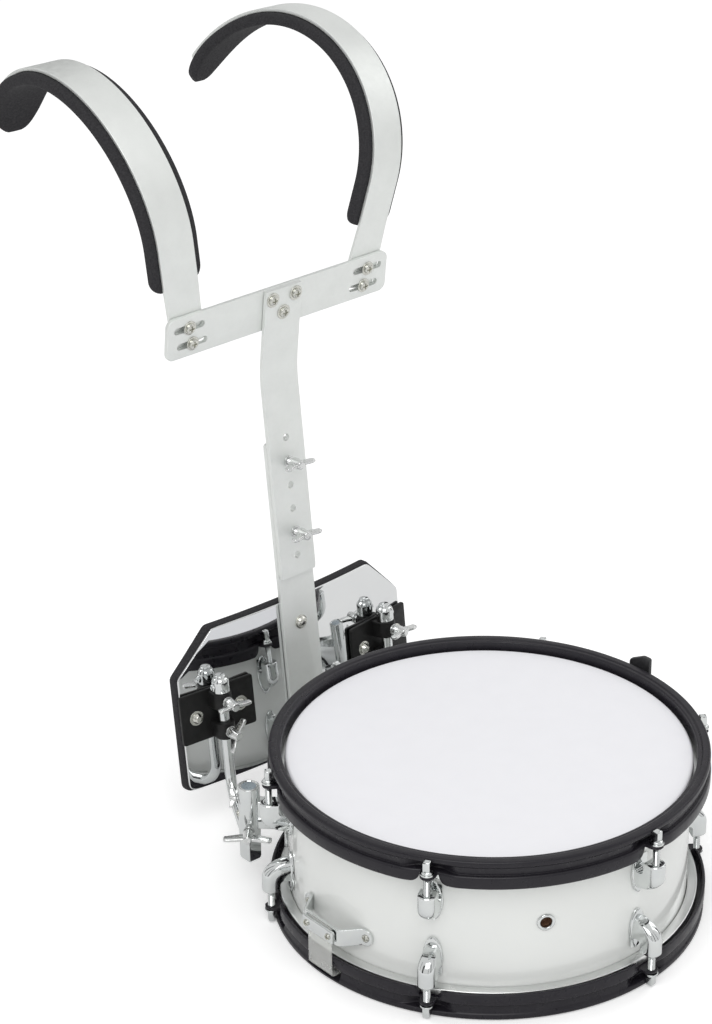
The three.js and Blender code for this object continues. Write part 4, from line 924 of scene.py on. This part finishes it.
def domeBolt(radius=5.0, height=3.4, washer=7.0):
    head = turned([(0, -0.5), (radius, -0.5), (radius, 0.8), (radius * 0.55, height), (0, height)],
                  [0.1, 0.4, 1.6, 1.6, 0.1], 6, 40)
    return joined(head, washerRing(1.5, washer, -1.2, 0.0, 0.35, 40))


def wingPiece(name, body, matrix, depth, standoff, reach, nut=False, stands=()):
    piece(name, moved(wingScrewSolid(depth, standoff, reach, nut), matrix), castWing, body, stands,
          sharpAngle=42)


def screwSet(name, head, matrices, body):
    piece(name, joined(*(moved(head, matrix) for matrix in matrices)), zincScrew, body)


# Snare side: butt plate, throw-off, straps and wires.

snareSizes = {"turn": -1, "buttTurn": 179, "face": 163.3, "wireTop": 8.4, "wireThick": 1.2, "wires": 16,
              "pitch": 2.3, "wire": 0.2, "turns": 150, "quickTurns": 60, "reach": 144, "plateLong": 14,
              "plateWide": 40, "stripHalf": 14, "stripThick": 0.8, "stripTop": 41, "stripFace": 179.2,
              "clampDrop": 1, "clampHigh": 11, "clampThick": 2.6, "clampHalf": 16.6}
buttSizes = {"out": 178.9, "thick": 2.4, "bottom": 38, "top": 53, "half": 40, "faceHalf": 20, "footHalf": 31,
             "stripTop": 52, "clampHalf": 18.5, "earScrew": 34}
throwSizes = {"baseHalf": 16, "baseThick": 2.4, "baseBottom": 30, "baseTop": 92, "half": 11, "face": 178.3,
              "bottom": 46, "top": 84, "tongueHalf": 12, "tongueBottom": 31, "cheek": 2.4, "cheekDeep": 12,
              "cheekBottom": 56, "cheekTop": 76, "axis": 184.3, "pivot": 66, "pin": 2, "hub": 4.8, "blade": 4,
              "tipHeight": 151.5, "shoulder": 122, "inner": 2, "outer": 21, "tip": 8, "knobAxis": 172.6,
              "knob": 6.5, "knobHigh": 9, "stem": 2.2, "stemDeep": 12}


def buildButt():
    # A strip bent like a hat. Its middle line follows the shell as x = sqrt(r^2 - y^2), climbs along a slant
    # to the raised face and comes back down, with a round at each bend; both ends are half circles.
    s = buttSizes
    place, shellFace = station(snareSizes["buttTurn"]), snareSizes["face"]
    skin, high, middle = s["thick"] / 2, (s["top"] - s["bottom"]) / 2, (s["top"] + s["bottom"]) / 2
    radius, face = shellFace + skin, s["out"] - skin
    wide = np.linspace(s["half"] - 0.3, s["footHalf"] + 2.5, 16)
    ear = np.stack([np.sqrt(radius ** 2 - wide ** 2), wide], -1)
    foot = (math.sqrt(radius ** 2 - s["footHalf"] ** 2), s["footHalf"])
    corners = softened([ear[-1], foot, (face, s["faceHalf"]), (face, 0.0)], [0, 2.2, 2.2, 0], 8, closed=False)
    line = np.concatenate([ear[:-1], corners])
    steps = [np.linspace(a, b, max(1, int(np.linalg.norm(b - a) / 1.2)) + 1)[:-1]
             for a, b in zip(line[:-1], line[1:])]
    line = np.concatenate([*steps, line[-1:]])
    line = np.concatenate([line, (line * [1, -1])[::-1][1:]])
    places = atHeight(line, middle)
    run = runLength(places)
    share = rounding(np.minimum(run, run[-1] - run) + 0.35, high)
    upward = np.broadcast_to([0, 0, 1.0], places.shape)
    through = np.cross(upward, unit(np.gradient(places, axis=0)))
    strip = carried(places, upward, through, flatSection(high, skin, 0.5), share)
    piece("butt_bracket_strip", moved(strip, place), chrome, "drum", ["butt_bracket"],
          sharpAngle=40)
    turns = [math.degrees(math.asin(y / shellFace)) for y in even(s["earScrew"])]
    screwSet("butt_bracket_screws", panHead(3.4, 1.9, 3.6), [
        place @ station(turn, shellFace + s["thick"] - 0.4, middle) @ turnedAbout("y", 90) for turn in turns
    ], "drum")


def stripSolid(end):
    s = snareSizes
    skin = s["stripThick"] / 2
    start, under = s["reach"] - s["plateLong"] + 3, s["wireTop"] - s["wireThick"] - seatGap - skin
    face = s["stripFace"] + skin
    line = softened([(start, under), (face, under), (face, end)], [1, 3, 1], 8, closed=False)
    places = np.stack([line[:, 0], np.zeros(len(line)), line[:, 1]], -1)
    return swept(places, [0, 1.0, 0], flatSection(s["stripHalf"], skin, 0.25, 3))


def buildStraps():
    s = snareSizes
    out = s["stripFace"] + s["stripThick"]
    for name, turn, end, half, apart in (("strainer", s["turn"], s["stripTop"], s["clampHalf"], 10),
                                         ("butt", s["buttTurn"], buttSizes["stripTop"],
                                          buttSizes["clampHalf"], 13)):
        top, place = end - s["clampDrop"], station(turn)
        bar = panel(facingOut, even(half), (top - s["clampHigh"], top), (out - 0.1, out + s["clampThick"]),
                    1.6, 0.6, fine=6)
        piece(name + "_film_strip", moved(stripSolid(end), place), clearStrip, "snares", [name + "_strap"])
        piece(name + "_clamp_bar", moved(bar, place), chrome, "snares")
        screwSet(name + "_clamp_screws", panHead(2.9, 1.7, 3.0), [
            place @ shifted(out + s["clampThick"], y, top - s["clampHigh"] / 2) @ turnedAbout("y", 90)
            for y in even(apart)
        ], "snares")


def buildWires():
    # Each strand is a helix: place = (x, middle + c cos kx, top - t/2 + c sin kx).
    s = snareSizes
    inner, bottom = s["reach"] - s["plateLong"] / 2, s["wireTop"] - s["wireThick"]
    turns, perTurn, sides = s["turns"], 6, 4
    t = np.linspace(0, 1, turns * perTurn + 1)
    coil, phase = s["wireThick"] / 2 - s["wire"], t * turns * 2 * math.pi
    places = np.stack([(2 * t - 1) * inner, coil * np.cos(phase), coil * np.sin(phase)], -1)
    forward, outwardRow = unit(np.gradient(places, axis=0)), unit(places * [0, 1, 1])
    across = unit(outwardRow - np.sum(outwardRow * forward, -1, keepdims=True) * forward)
    strand = swept(places, across, circle(s["wire"], sides))
    plate = slab(roundedRectangle(s["reach"] - s["plateLong"], s["reach"], *even(s["plateWide"] / 2), 2.5, 6),
                 bottom, s["wireTop"], 0.35)
    rows = [moved(strand, shifted(0, (k - (s["wires"] - 1) / 2) * s["pitch"],
                                  s["wireTop"] - s["wireThick"] / 2))
            for k in range(s["wires"])]
    piece("snare_wire_set", moved(joined(*rows, plate, moved(plate, sideMirror)), station(s["turn"])),
          drawnWire, "snares", ["snare_wires"], sharpAngle=60)


def throwOffFrame():
    # The first solid is the base plate; the others are joined to it, and the last two are holes in it.
    s, face = throwSizes, snareSizes["face"]
    base = panel(facingOut, even(s["baseHalf"]), (s["baseBottom"], s["baseTop"]),
                 (face, face + s["baseThick"]), 5)
    body = panel(facingOut, even(s["half"]), (s["bottom"], s["top"]), (face + 0.6, s["face"]), 3, 1.2, 4, 6)
    tongue = panel(facingOut, even(s["tongueHalf"]), (s["tongueBottom"], s["bottom"] + 2.4),
                   (face + 0.4, snareSizes["stripFace"] - seatGap), 1.5)
    root, front = s["face"] - 2.4, s["face"] + s["cheekDeep"]
    cheek = softened([(root, s["cheekBottom"]), (front, s["cheekBottom"] + 3), (front, s["cheekTop"] - 3),
                      (root, s["cheekTop"])], [1.6, 4, 4, 1.6], 6)
    cheeks = [moved(slab(cheek, y, y + s["cheek"], 0.6), standing)
              for y in (0.25 - s["half"], s["half"] - s["cheek"] - 0.25)]
    pinHole = moved(cylinder(s["pin"] + 0.3, *even(14), 32), turnedAbout("x", 90))
    stemHole = cylinder(s["stem"] + 0.3, s["top"] - s["stemDeep"] - 0.3, s["top"] + 2, 32)
    return base, [body, tongue, *cheeks], [moved(pinHole, shifted(s["axis"], 0, s["pivot"])),
                                           moved(stemHole, shifted(s["knobAxis"], 0, 0))]


def leverSolid():
    # A hub on its pin and a broad flat paddle above it.
    s = throwSizes
    half, end = s["half"] - s["cheek"] - seatGap, s["half"]
    pivot = shifted(s["axis"], 0, s["pivot"]) @ turnedAbout("x", 90)
    hub = turned([(0, -half), (s["hub"], -half), (s["hub"], half), (0, half)], [0.1, 0.6, 0.6, 0.1], 3, 40)
    pin = lathe([(0, -end), (s["pin"] - 0.3, -end), (s["pin"], 0.3 - end), (s["pin"], end - 0.3),
                 (s["pin"] - 0.3, end), (0, end)], 24)
    outline = softened([
        (-s["inner"], s["pivot"]), (half, s["pivot"]), (half, s["cheekTop"] + s["blade"]),
        (s["outer"], s["shoulder"]),
        (s["outer"], s["tipHeight"] - 8), (s["tip"] - s["inner"], s["tipHeight"]),
        (-s["inner"], s["tipHeight"]),
    ], [1, 1, 6, 8, 3, 2, 2], 6)
    blade = moved(slab(outline, s["axis"] - s["blade"] / 2, s["axis"] + s["blade"] / 2, 1.1, 4), facingOut)
    return joined(moved(hub, pivot), moved(pin, pivot), blade)


def knobSolid():
    s = throwSizes
    a, bottom = ringAngles(96), s["top"] + seatGap
    top = bottom + s["knobHigh"]
    knurl = s["knob"] - 0.3 * (0.5 - 0.5 * np.cos(24 * a))
    share, level = np.array([(0.9, bottom), (0.96, bottom + 0.3), (1.0, bottom + 0.9), (1.0, top - 1.3),
                             (0.97, top - 0.6), (0.88, top - 0.1), (0.7, top)]).T[:, :, None]
    return joined(ringsToSolid(polar(share * knurl, a, level)),
                  cylinder(s["stem"], s["top"] - s["stemDeep"], bottom + 1, 28))


def buildThrowOff():
    place = station(snareSizes["turn"])
    base, adds, cuts = throwOffFrame()
    piece("throw_off_frame", moved(base, place), chrome, "drum", ["strainer_body"],
          adds=[moved(v, place) for v in adds], cuts=[moved(v, place) for v in cuts])
    piece("throw_off_paddle", moved(leverSolid(), place), blackLever, "lever", ["strainer_lever"],
          sharpAngle=40)
    piece("tension_thumbwheel", moved(knobSolid(), place @ shifted(throwSizes["knobAxis"], 0, 0)), chrome,
          "knob", ["strainer_knob"], sharpAngle=40)


# Carrier hardware.

clampSizes = {"clear": 11.89, "wide": 72, "thick": 3, "bottom": -12.7, "top": 32.3, "knuckle": 8.6,
              "draft": 0.06,
              "knuckleHigh": 14.6, "sink": 1.3, "inset": 1.6, "boltAt": 21.7, "boltHigh": 9.9, "collar": 7.6,
              "collarHigh": 13, "dome": 3.4, "boss": 3.2, "bossLong": 1.6, "seat": 31.0, "lowerTurn": 62}
receiverSizes = {"turn": 45.3, "radius": 195, "tube": 9, "footHalf": 6.6, "pressed": 10, "top": 97,
                 "tubeBottom": 47,
                 "bottom": 27, "bevel": 3, "baseHalf": 12, "baseBottom": 42, "baseTop": 92, "baseThick": 2.6,
                 "corner": 8, "armHalf": 5, "armBottom": 58, "armTop": 84, "screw": 58, "smallScrew": 84,
                 "screwApart": 14, "thumbTurn": 35, "thumbShare": 0.5, "boreLong": 24}
hangerAcross = float(bowAt(rodHang["spread"])) - rodHang["standoff"]
clampTurn = math.degrees(math.atan2(rodHang["spread"], bowRadius - hangerAcross))
boreRadius = rodHang["radius"] + 0.3


def clampPose(side):
    place = carrierPose @ shifted(side * rodHang["spread"], hangerAcross, 0)
    return place @ turnedAbout("z", side * clampTurn)


def collarSolid(side):
    # Memory collar: a bullet-nosed ring with its thumb screw.
    s = clampSizes
    inner, outer, high, boss = boreRadius, s["collar"], s["collarHigh"], s["boss"]
    profile = softened([(inner, 0), (outer, 0), (outer, high - s["dome"]), (outer - 1.0, high - 1.3),
                        (inner + 0.3, high), (inner, high - 0.3)], [0.2, 0.5, 1.6, 1.6, 0.3, 0.1], 5)
    ring = latheRing(profile, 48)
    end = outer + s["bossLong"]
    screw = turned([(0, inner + 0.4), (boss, inner + 0.4), (boss, end - 0.6), (boss - 0.6, end), (1.5, end),
                    (1.3, end - 1.2), (0, end - 1.2)], [0.1, 0.1, 0.3, 0.3, 0.1, 0.1, 0.1], 3, 28)
    return joined(ring, moved(screw, shifted(0, 0, (high - s["dome"]) / 2) @ turnedAbout("y", side * 90)))


def buildClamps():
    s = clampSizes
    face, bottom, top, radius = s["clear"] - seatGap, s["bottom"], s["top"], s["knuckle"]
    plate = panel(standing, even(s["wide"] / 2), (bottom, top), (face - s["thick"], face), 2.2, 0.6, fine=6)
    a = np.linspace(math.pi, 2 * math.pi, 33)
    lows = (bottom + s["inset"], top - s["inset"] - s["knuckleHigh"])
    knuckles = []
    for low, half in zip(lows, (radius, radius - s["draft"])):
        nose = np.stack([half * np.cos(a), radius * np.sin(a)], -1)
        outline = np.concatenate([nose, [(half, face - s["sink"]), (-half, face - s["sink"])]])
        knuckles.append(slab(outline, low, low + s["knuckleHigh"], 0.9, 4))
    bore = moved(cylinder(boreRadius, bottom - 2, top + 2, 48), turnedAbout("z", 2.5))
    for side, name in sides:
        place = clampPose(side)
        piece(name + "_cast_clamp", moved(plate, place), blackCast, "carrier", [name + "_clamp_bracket"],
              adds=[moved(v, place) for v in knuckles], cuts=[moved(bore, place)])
        screwSet(name + "_clamp_bolts", domeBolt(4.6, 4.2, 6.6), [
            place @ shifted(x, face - s["thick"] - 0.9, s["boltHigh"]) @ turnedAbout("x", 90)
            for x in even(s["boltAt"])
        ], "carrier")
        lower, upper = (place @ shifted(0, -radius, low + s["knuckleHigh"] / 2) @ turnedAbout("x", 90)
                        for low in lows)
        reach = radius - boreRadius, wingSizes["near"], wingSizes["reach"]
        wingPiece(name + "_lower_clamp_wing", "carrier", lower @ turnedAbout("z", s["lowerTurn"]), *reach)
        wingPiece(name + "_clamp_wing", name + "_clamp_screw", upper, *reach,
                  stands=[name + "_clamp_wing_screw"])
        piece(name + "_bullet_collar", moved(collarSolid(side), place @ shifted(0, 0, s["seat"])), chrome,
              "drum", [name + "_memory_collar"], sharpAngle=42)


def hangerPath(side):
    # Down along the carrier's lean, round a circular bend, then level to the receiver.
    s, r = clampSizes, receiverSizes["radius"]
    top = (carrierPose @ [side * rodHang["spread"], hangerAcross, s["seat"] + s["collarHigh"] + 2, 1])[:3]
    down = -carrierPose[:3, 2]
    corner = top + down * (rodHang["foot"] - top[2]) / down[2]
    angle = math.radians(receiverSizes["turn"])
    socket = np.array([side * r * math.cos(angle), r * math.sin(angle), rodHang["foot"]])
    level = unit(socket - corner)
    end = socket - level * rodHang["insertion"]
    sweep = math.acos(down @ level)
    start = corner - down * rodHang["bend"] * math.tan(sweep / 2)
    inward = unit(level - down * (level @ down))
    centre = start + inward * rodHang["bend"]
    t = np.linspace(0, sweep, 26)[:, None]
    arc = centre + rodHang["bend"] * (-inward * np.cos(t) + down * np.sin(t))
    places = np.concatenate([np.linspace(top, start, 8)[:-1], arc, np.linspace(arc[-1], end, 4)[1:]])
    forward = unit(np.gradient(places, axis=0))
    across = np.broadcast_to(unit(np.cross(down, inward)), places.shape)
    return places, forward, across, level, socket


def hangingRod(side):
    # Each end is chamfered over its last half millimetre.
    places, forward, across, level, _ = hangerPath(side)
    chamfer = 0.5
    rows = np.concatenate([[0, 0], np.arange(1, len(places) - 1), [-1, -1]])
    through = np.cross(forward, across)[rows]
    ends = places[rows]
    ends[1] += forward[0] * chamfer
    ends[-2] -= level * chamfer
    shares = np.ones(len(ends))
    shares[[0, -1]] = 0.9
    return carried(ends, across[rows], through, circle(rodHang["radius"], 32), shares, shares)


def receiverSolids():
    # All in the station's frame: x points out from the drum's axis, which is at x = 0.
    s, face = receiverSizes, snareSizes["face"]
    low, top, tube, bottom = s["tubeBottom"], s["top"], s["tube"], s["bottom"]
    start = low + s["pressed"] - 0.5
    barrel = turned([(0, start), (tube, start), (tube, top - 0.2), (tube - 1.2, top), (tube - 1.9, top - 1.0),
                     (tube - 2.6, top - 0.7), (0, top - 0.4)], [0.1, 0.1, 0.7, 0.5, 0.2, 0.4, 0.1], 4, 64)
    # The tube's lower end is pressed square: its circle turns into the square over `pressed`.
    half = even(s["footHalf"])
    diagonal = math.sqrt(0.5) * np.array([[1, 1], [-1, 1]])
    square = roundedRectangle(*half, *half, 1.4, 5) @ diagonal
    rounded = unit(square) * tube
    levels = [(0.6, 1, bottom), (0.84, 1, bottom + 0.2), (0.93, 1, bottom + 1.2),
              (1.0, 1, bottom + s["bevel"])]
    levels += [(1.0, 1 - k / 8, low + s["pressed"] * k / 8) for k in range(9)]
    foot = ringsToSolid(np.stack([atHeight((square * t + rounded * (1 - t)) * k, z) for k, t, z in levels]))
    arm = box(face + 1, s["radius"] - 3, *even(s["armHalf"]), s["armBottom"], s["armTop"], 1.2)
    points, quads, tris = panel(facingOut, even(s["baseHalf"]), (s["baseBottom"], s["baseTop"]),
                                (0, s["baseThick"]), s["corner"], fine=10)
    curve = np.sqrt((face + points[:, 0]) ** 2 - points[:, 1] ** 2)
    base = np.column_stack([curve, points[:, 1:]]), quads, tris
    out = shifted(s["radius"], 0, 0)
    return moved(barrel, out), [moved(foot, out), arm, base]


def buildHangers():
    s = receiverSizes
    barrel, adds = receiverSolids()
    cap = turned([(0, -0.6), (s["tube"] - 2.8, -0.6), (s["tube"] - 2.8, 0.0), (0, 0.25)],
                 [0.1, 0.1, 0.4, 0.1], 3, 48)
    for side, name in sides:
        piece(name + "_bent_rod", hangingRod(side), chrome, "drum", [name + "_hanging_rod"],
              sharpAngle=50)
        *_, level, socket = hangerPath(side)
        mouth = np.stack([socket - level * s["boreLong"], socket - level * (rodHang["insertion"] - 0.3)])
        square = unit(np.cross(level, [0, 0, 1.0]))
        bore = carried(mouth, np.stack([square] * 2), np.stack([np.cross(level, square)] * 2),
                       circle(boreRadius, 40))
        place = station(s["turn"] if side > 0 else 180 - s["turn"])
        piece(name + "_rod_receiver", moved(barrel, place), chrome, "drum", [name + "_receiver"],
              sharpAngle=38, adds=[moved(v, place) for v in adds], cuts=[bore])
        axis = place @ shifted(s["radius"], 0, 0)
        piece(name + "_receiver_cap", moved(cap, axis @ shifted(0, 0, s["top"] - 0.4)), capGrey, "drum")
        seat = axis @ shifted(0, -side * s["tube"], s["screw"]) @ turnedAbout("x", side * 90)
        wingPiece(name + "_receiver_wing", name + "_receiver_screw", seat, s["tube"] / 2, wingSizes["near"],
                  wingSizes["receiverReach"], stands=[name + "_receiver_wing_screw"])
        small = (axis @ shifted(s["tube"] - 0.4, 0, s["smallScrew"]) @ turnedAbout("y", 90)
                 @ turnedAbout("z", s["thumbTurn"]) @ np.diag([*[s["thumbShare"]] * 3, 1]))
        wingPiece(name + "_receiver_thumb", "drum", small, 2, wingSizes["near"], wingSizes["reach"])
        below = axis @ shifted(s["tube"] + 0.2, 0, s["smallScrew"] - s["screwApart"]) @ turnedAbout("y", 90)
        screwSet(name + "_receiver_set_screw", panHead(2.4, 1.6, 3.0), [below], "drum")


crossbarScrews = {"places": ((-12.2, -8.2), (12.2, -8.2), (0, -22)), "seat": 0.9, "slotSeat": 0.95}


def buildCarrierScrews():
    s = stemSizes
    depth = 2 * (s["sheet"] + seatGap) + wingSizes["nutHigh"]
    flat = turnedAbout("x", 90)
    for name, hole in (("upper", 1), ("lower", 4)):
        seat = carrierPose @ shifted(0, stemFront, s["topHole"] - hole * s["pitch"]) @ flat
        wingPiece(name + "_stem_wing", name + "_stem_screw", seat, depth, wingSizes["far"],
                  wingSizes["reach"], nut=True, stands=[name + "_stem_wing_screw"])
    screwSet("stem_plate_bolt", domeBolt(5.2, 3.2, 6.2),
             [carrierPose @ shifted(0, -seatGap - s["sheet"] - 1.2, s["boltHeight"]) @ flat], "carrier")
    front = -carrierSizes["sheet"] - seatGap - crossbarScrews["seat"]
    screwSet("crossbar_screws", panHead(), [
        crossbarPose @ shifted(x, front, z) @ flat for x, z in crossbarScrews["places"]
    ], "mast")
    for side, name in sides:
        screwSet(name + "_slot_screws", panHead(4.4, 2.6, 6.0), [
            crossbarPose @ shifted(x, -crossbarScrews["slotSeat"], z) @ flat
            for where, x, z in slotCentres() if where == side
        ], name + "_hook")


buildBelly()
buildStems()
buildCrossbar()
for side, name in sides:
    buildHook(side, name)
buildClamps()
buildHangers()
buildCarrierScrews()
print("carrier made")
buildButt()
buildStraps()
buildWires()
buildThrowOff()
print("snare side made")


# Camera, floor and light.

cameraView = {"azimuth": -41.555, "elevation": 26.24, "roll": -0.573, "distance": 2329.4, "height": 75,
              "right": -104.89, "up": 247.03, "lens": 100.58}


def buildCamera():
    c = cameraView
    a, e, r = (math.radians(c[k]) for k in ("azimuth", "elevation", "roll"))
    back = np.array([math.sin(a) * math.cos(e), -math.cos(a) * math.cos(e), math.sin(e)])
    right = unit(np.cross(-back, [0, 0, 1.0]))
    up = np.cross(right, -back)
    at = np.array([0, 0, c["height"]]) + back * c["distance"] + right * c["right"] + up * c["up"]
    camera = linked("camera", bpy.data.cameras.new("camera"))
    camera.data.lens, camera.data.sensor_width, camera.data.sensor_fit = c["lens"], 36, "AUTO"
    camera.data.clip_start, camera.data.clip_end = 0.1, 60
    matrix = np.eye(4)
    matrix[:3] = np.stack([right * math.cos(r) + up * math.sin(r), up * math.cos(r) - right * math.sin(r),
                           back, at * 0.001 + drumAt], 1)
    camera.matrix_world = Matrix(matrix.tolist())
    bpy.context.scene.camera = camera


def plainMaterial(name, colour):
    made = bpy.data.materials.new(name)
    made.use_nodes = True
    shader = made.node_tree.nodes["Principled BSDF"]
    shader.inputs["Base Color"].default_value = (*colour, 1)
    shader.inputs["Roughness"].default_value = 0.9
    return made, made.node_tree, shader


def stageSheet(name, corners, material):
    mesh = bpy.data.meshes.new(name)
    mesh.from_pydata(corners, [], [(0, 1, 2, 3)])
    mesh.materials.append(material)
    made = linked(name, mesh)
    return made


def buildFloor():
    # The floor lies just under the drum. A little light of its own, for the camera alone, keeps it pale.
    size, under, glow = 14.0, -0.0006, 0.3
    made, tree, shader = plainMaterial("paleFloor", (0.9, 0.9, 0.9))
    seen = wired(tree, "LightPath").outputs["Is Camera Ray"]
    lift = wired(tree, "Math", {0: seen, 1: glow}, operation="MULTIPLY").outputs[0]
    for key, value in (("Specular IOR Level", 0.0), ("Emission Color", (1, 1, 1, 1)),
                       ("Emission Strength", lift)):
        feed(tree, shader, key, value)
    stageSheet("floor", [(-size, -size, under), (size, -size, under), (size, size, under),
                         (-size, size, under)], made)


lightLevels = {"sky": 0.77, "key": 28.5, "fill": 8.0}
lightAim = (0, 0, 0.2)


def buildLight():
    world = bpy.data.worlds.new("studio")
    bpy.context.scene.world = world
    world.use_nodes = True
    tree = world.node_tree
    tree.nodes.clear()
    # The camera, also through the clear strips, sees plain white; everything else sees the dimmer sky.
    seen, plain = (wired(tree, "Background", {"Strength": strength, "Color": (1, 1, 1, 1)}).outputs[0]
                   for strength in (1.0, lightLevels["sky"]))
    path = wired(tree, "LightPath").outputs
    most = wired(tree, "Math", {0: path["Is Camera Ray"], 1: path["Is Transmission Ray"]},
                 operation="MAXIMUM")
    mix = wired(tree, "MixShader", {"Fac": most.outputs[0], 1: plain, 2: seen})
    wired(tree, "OutputWorld", {"Surface": mix.outputs[0]})
    for name, place, size in (("key", (-1.6, -1.4, 2.6), 1.8), ("fill", (2.2, -0.6, 1.6), 1.6)):
        lamp = linked(name, bpy.data.lights.new(name, "AREA"))
        lamp.data.energy, lamp.data.size = lightLevels[name], size
        lamp.location = place
        lamp.rotation_mode = "QUATERNION"
        lamp.rotation_quaternion = (Vector(lightAim) - Vector(place)).to_track_quat("-Z", "Y")


cardTurns = {-172: 0.5, -128: 0.16, -96: 0.3, -62: 0.14, -20: 0.5, 24: 0.3, 66: 0.7, 108: 0.3, 150: 0.2}
cardSizes = {"away": 2.3, "low": 0.0, "high": 2.6}


def buildCards():
    # Dark cards round the set, each turn with its width, give the polished metal its streaks.
    # Only reflections see them.
    c = cardSizes
    dark = plainMaterial("darkCard", (0.03, 0.03, 0.032))[0]
    for k, (turn, width) in enumerate(cardTurns.items()):
        a = math.radians(turn)
        middle = np.array([math.cos(a), math.sin(a)]) * c["away"]
        side = np.array([-math.sin(a), math.cos(a)]) * width / 2
        corners = [(*(middle + side * s), z) for s, z in ((-1, c["low"]), (1, c["low"]), (1, c["high"]),
                                                         (-1, c["high"]))]
        card = stageSheet(f"card_{k}", corners, dark)
        card.visible_camera = card.visible_diffuse = card.visible_shadow = card.visible_transmission = False


buildCamera()
buildFloor()
buildLight()
buildCards()
bpy.context.scene.view_settings.view_transform = "Standard"
print("stage made")
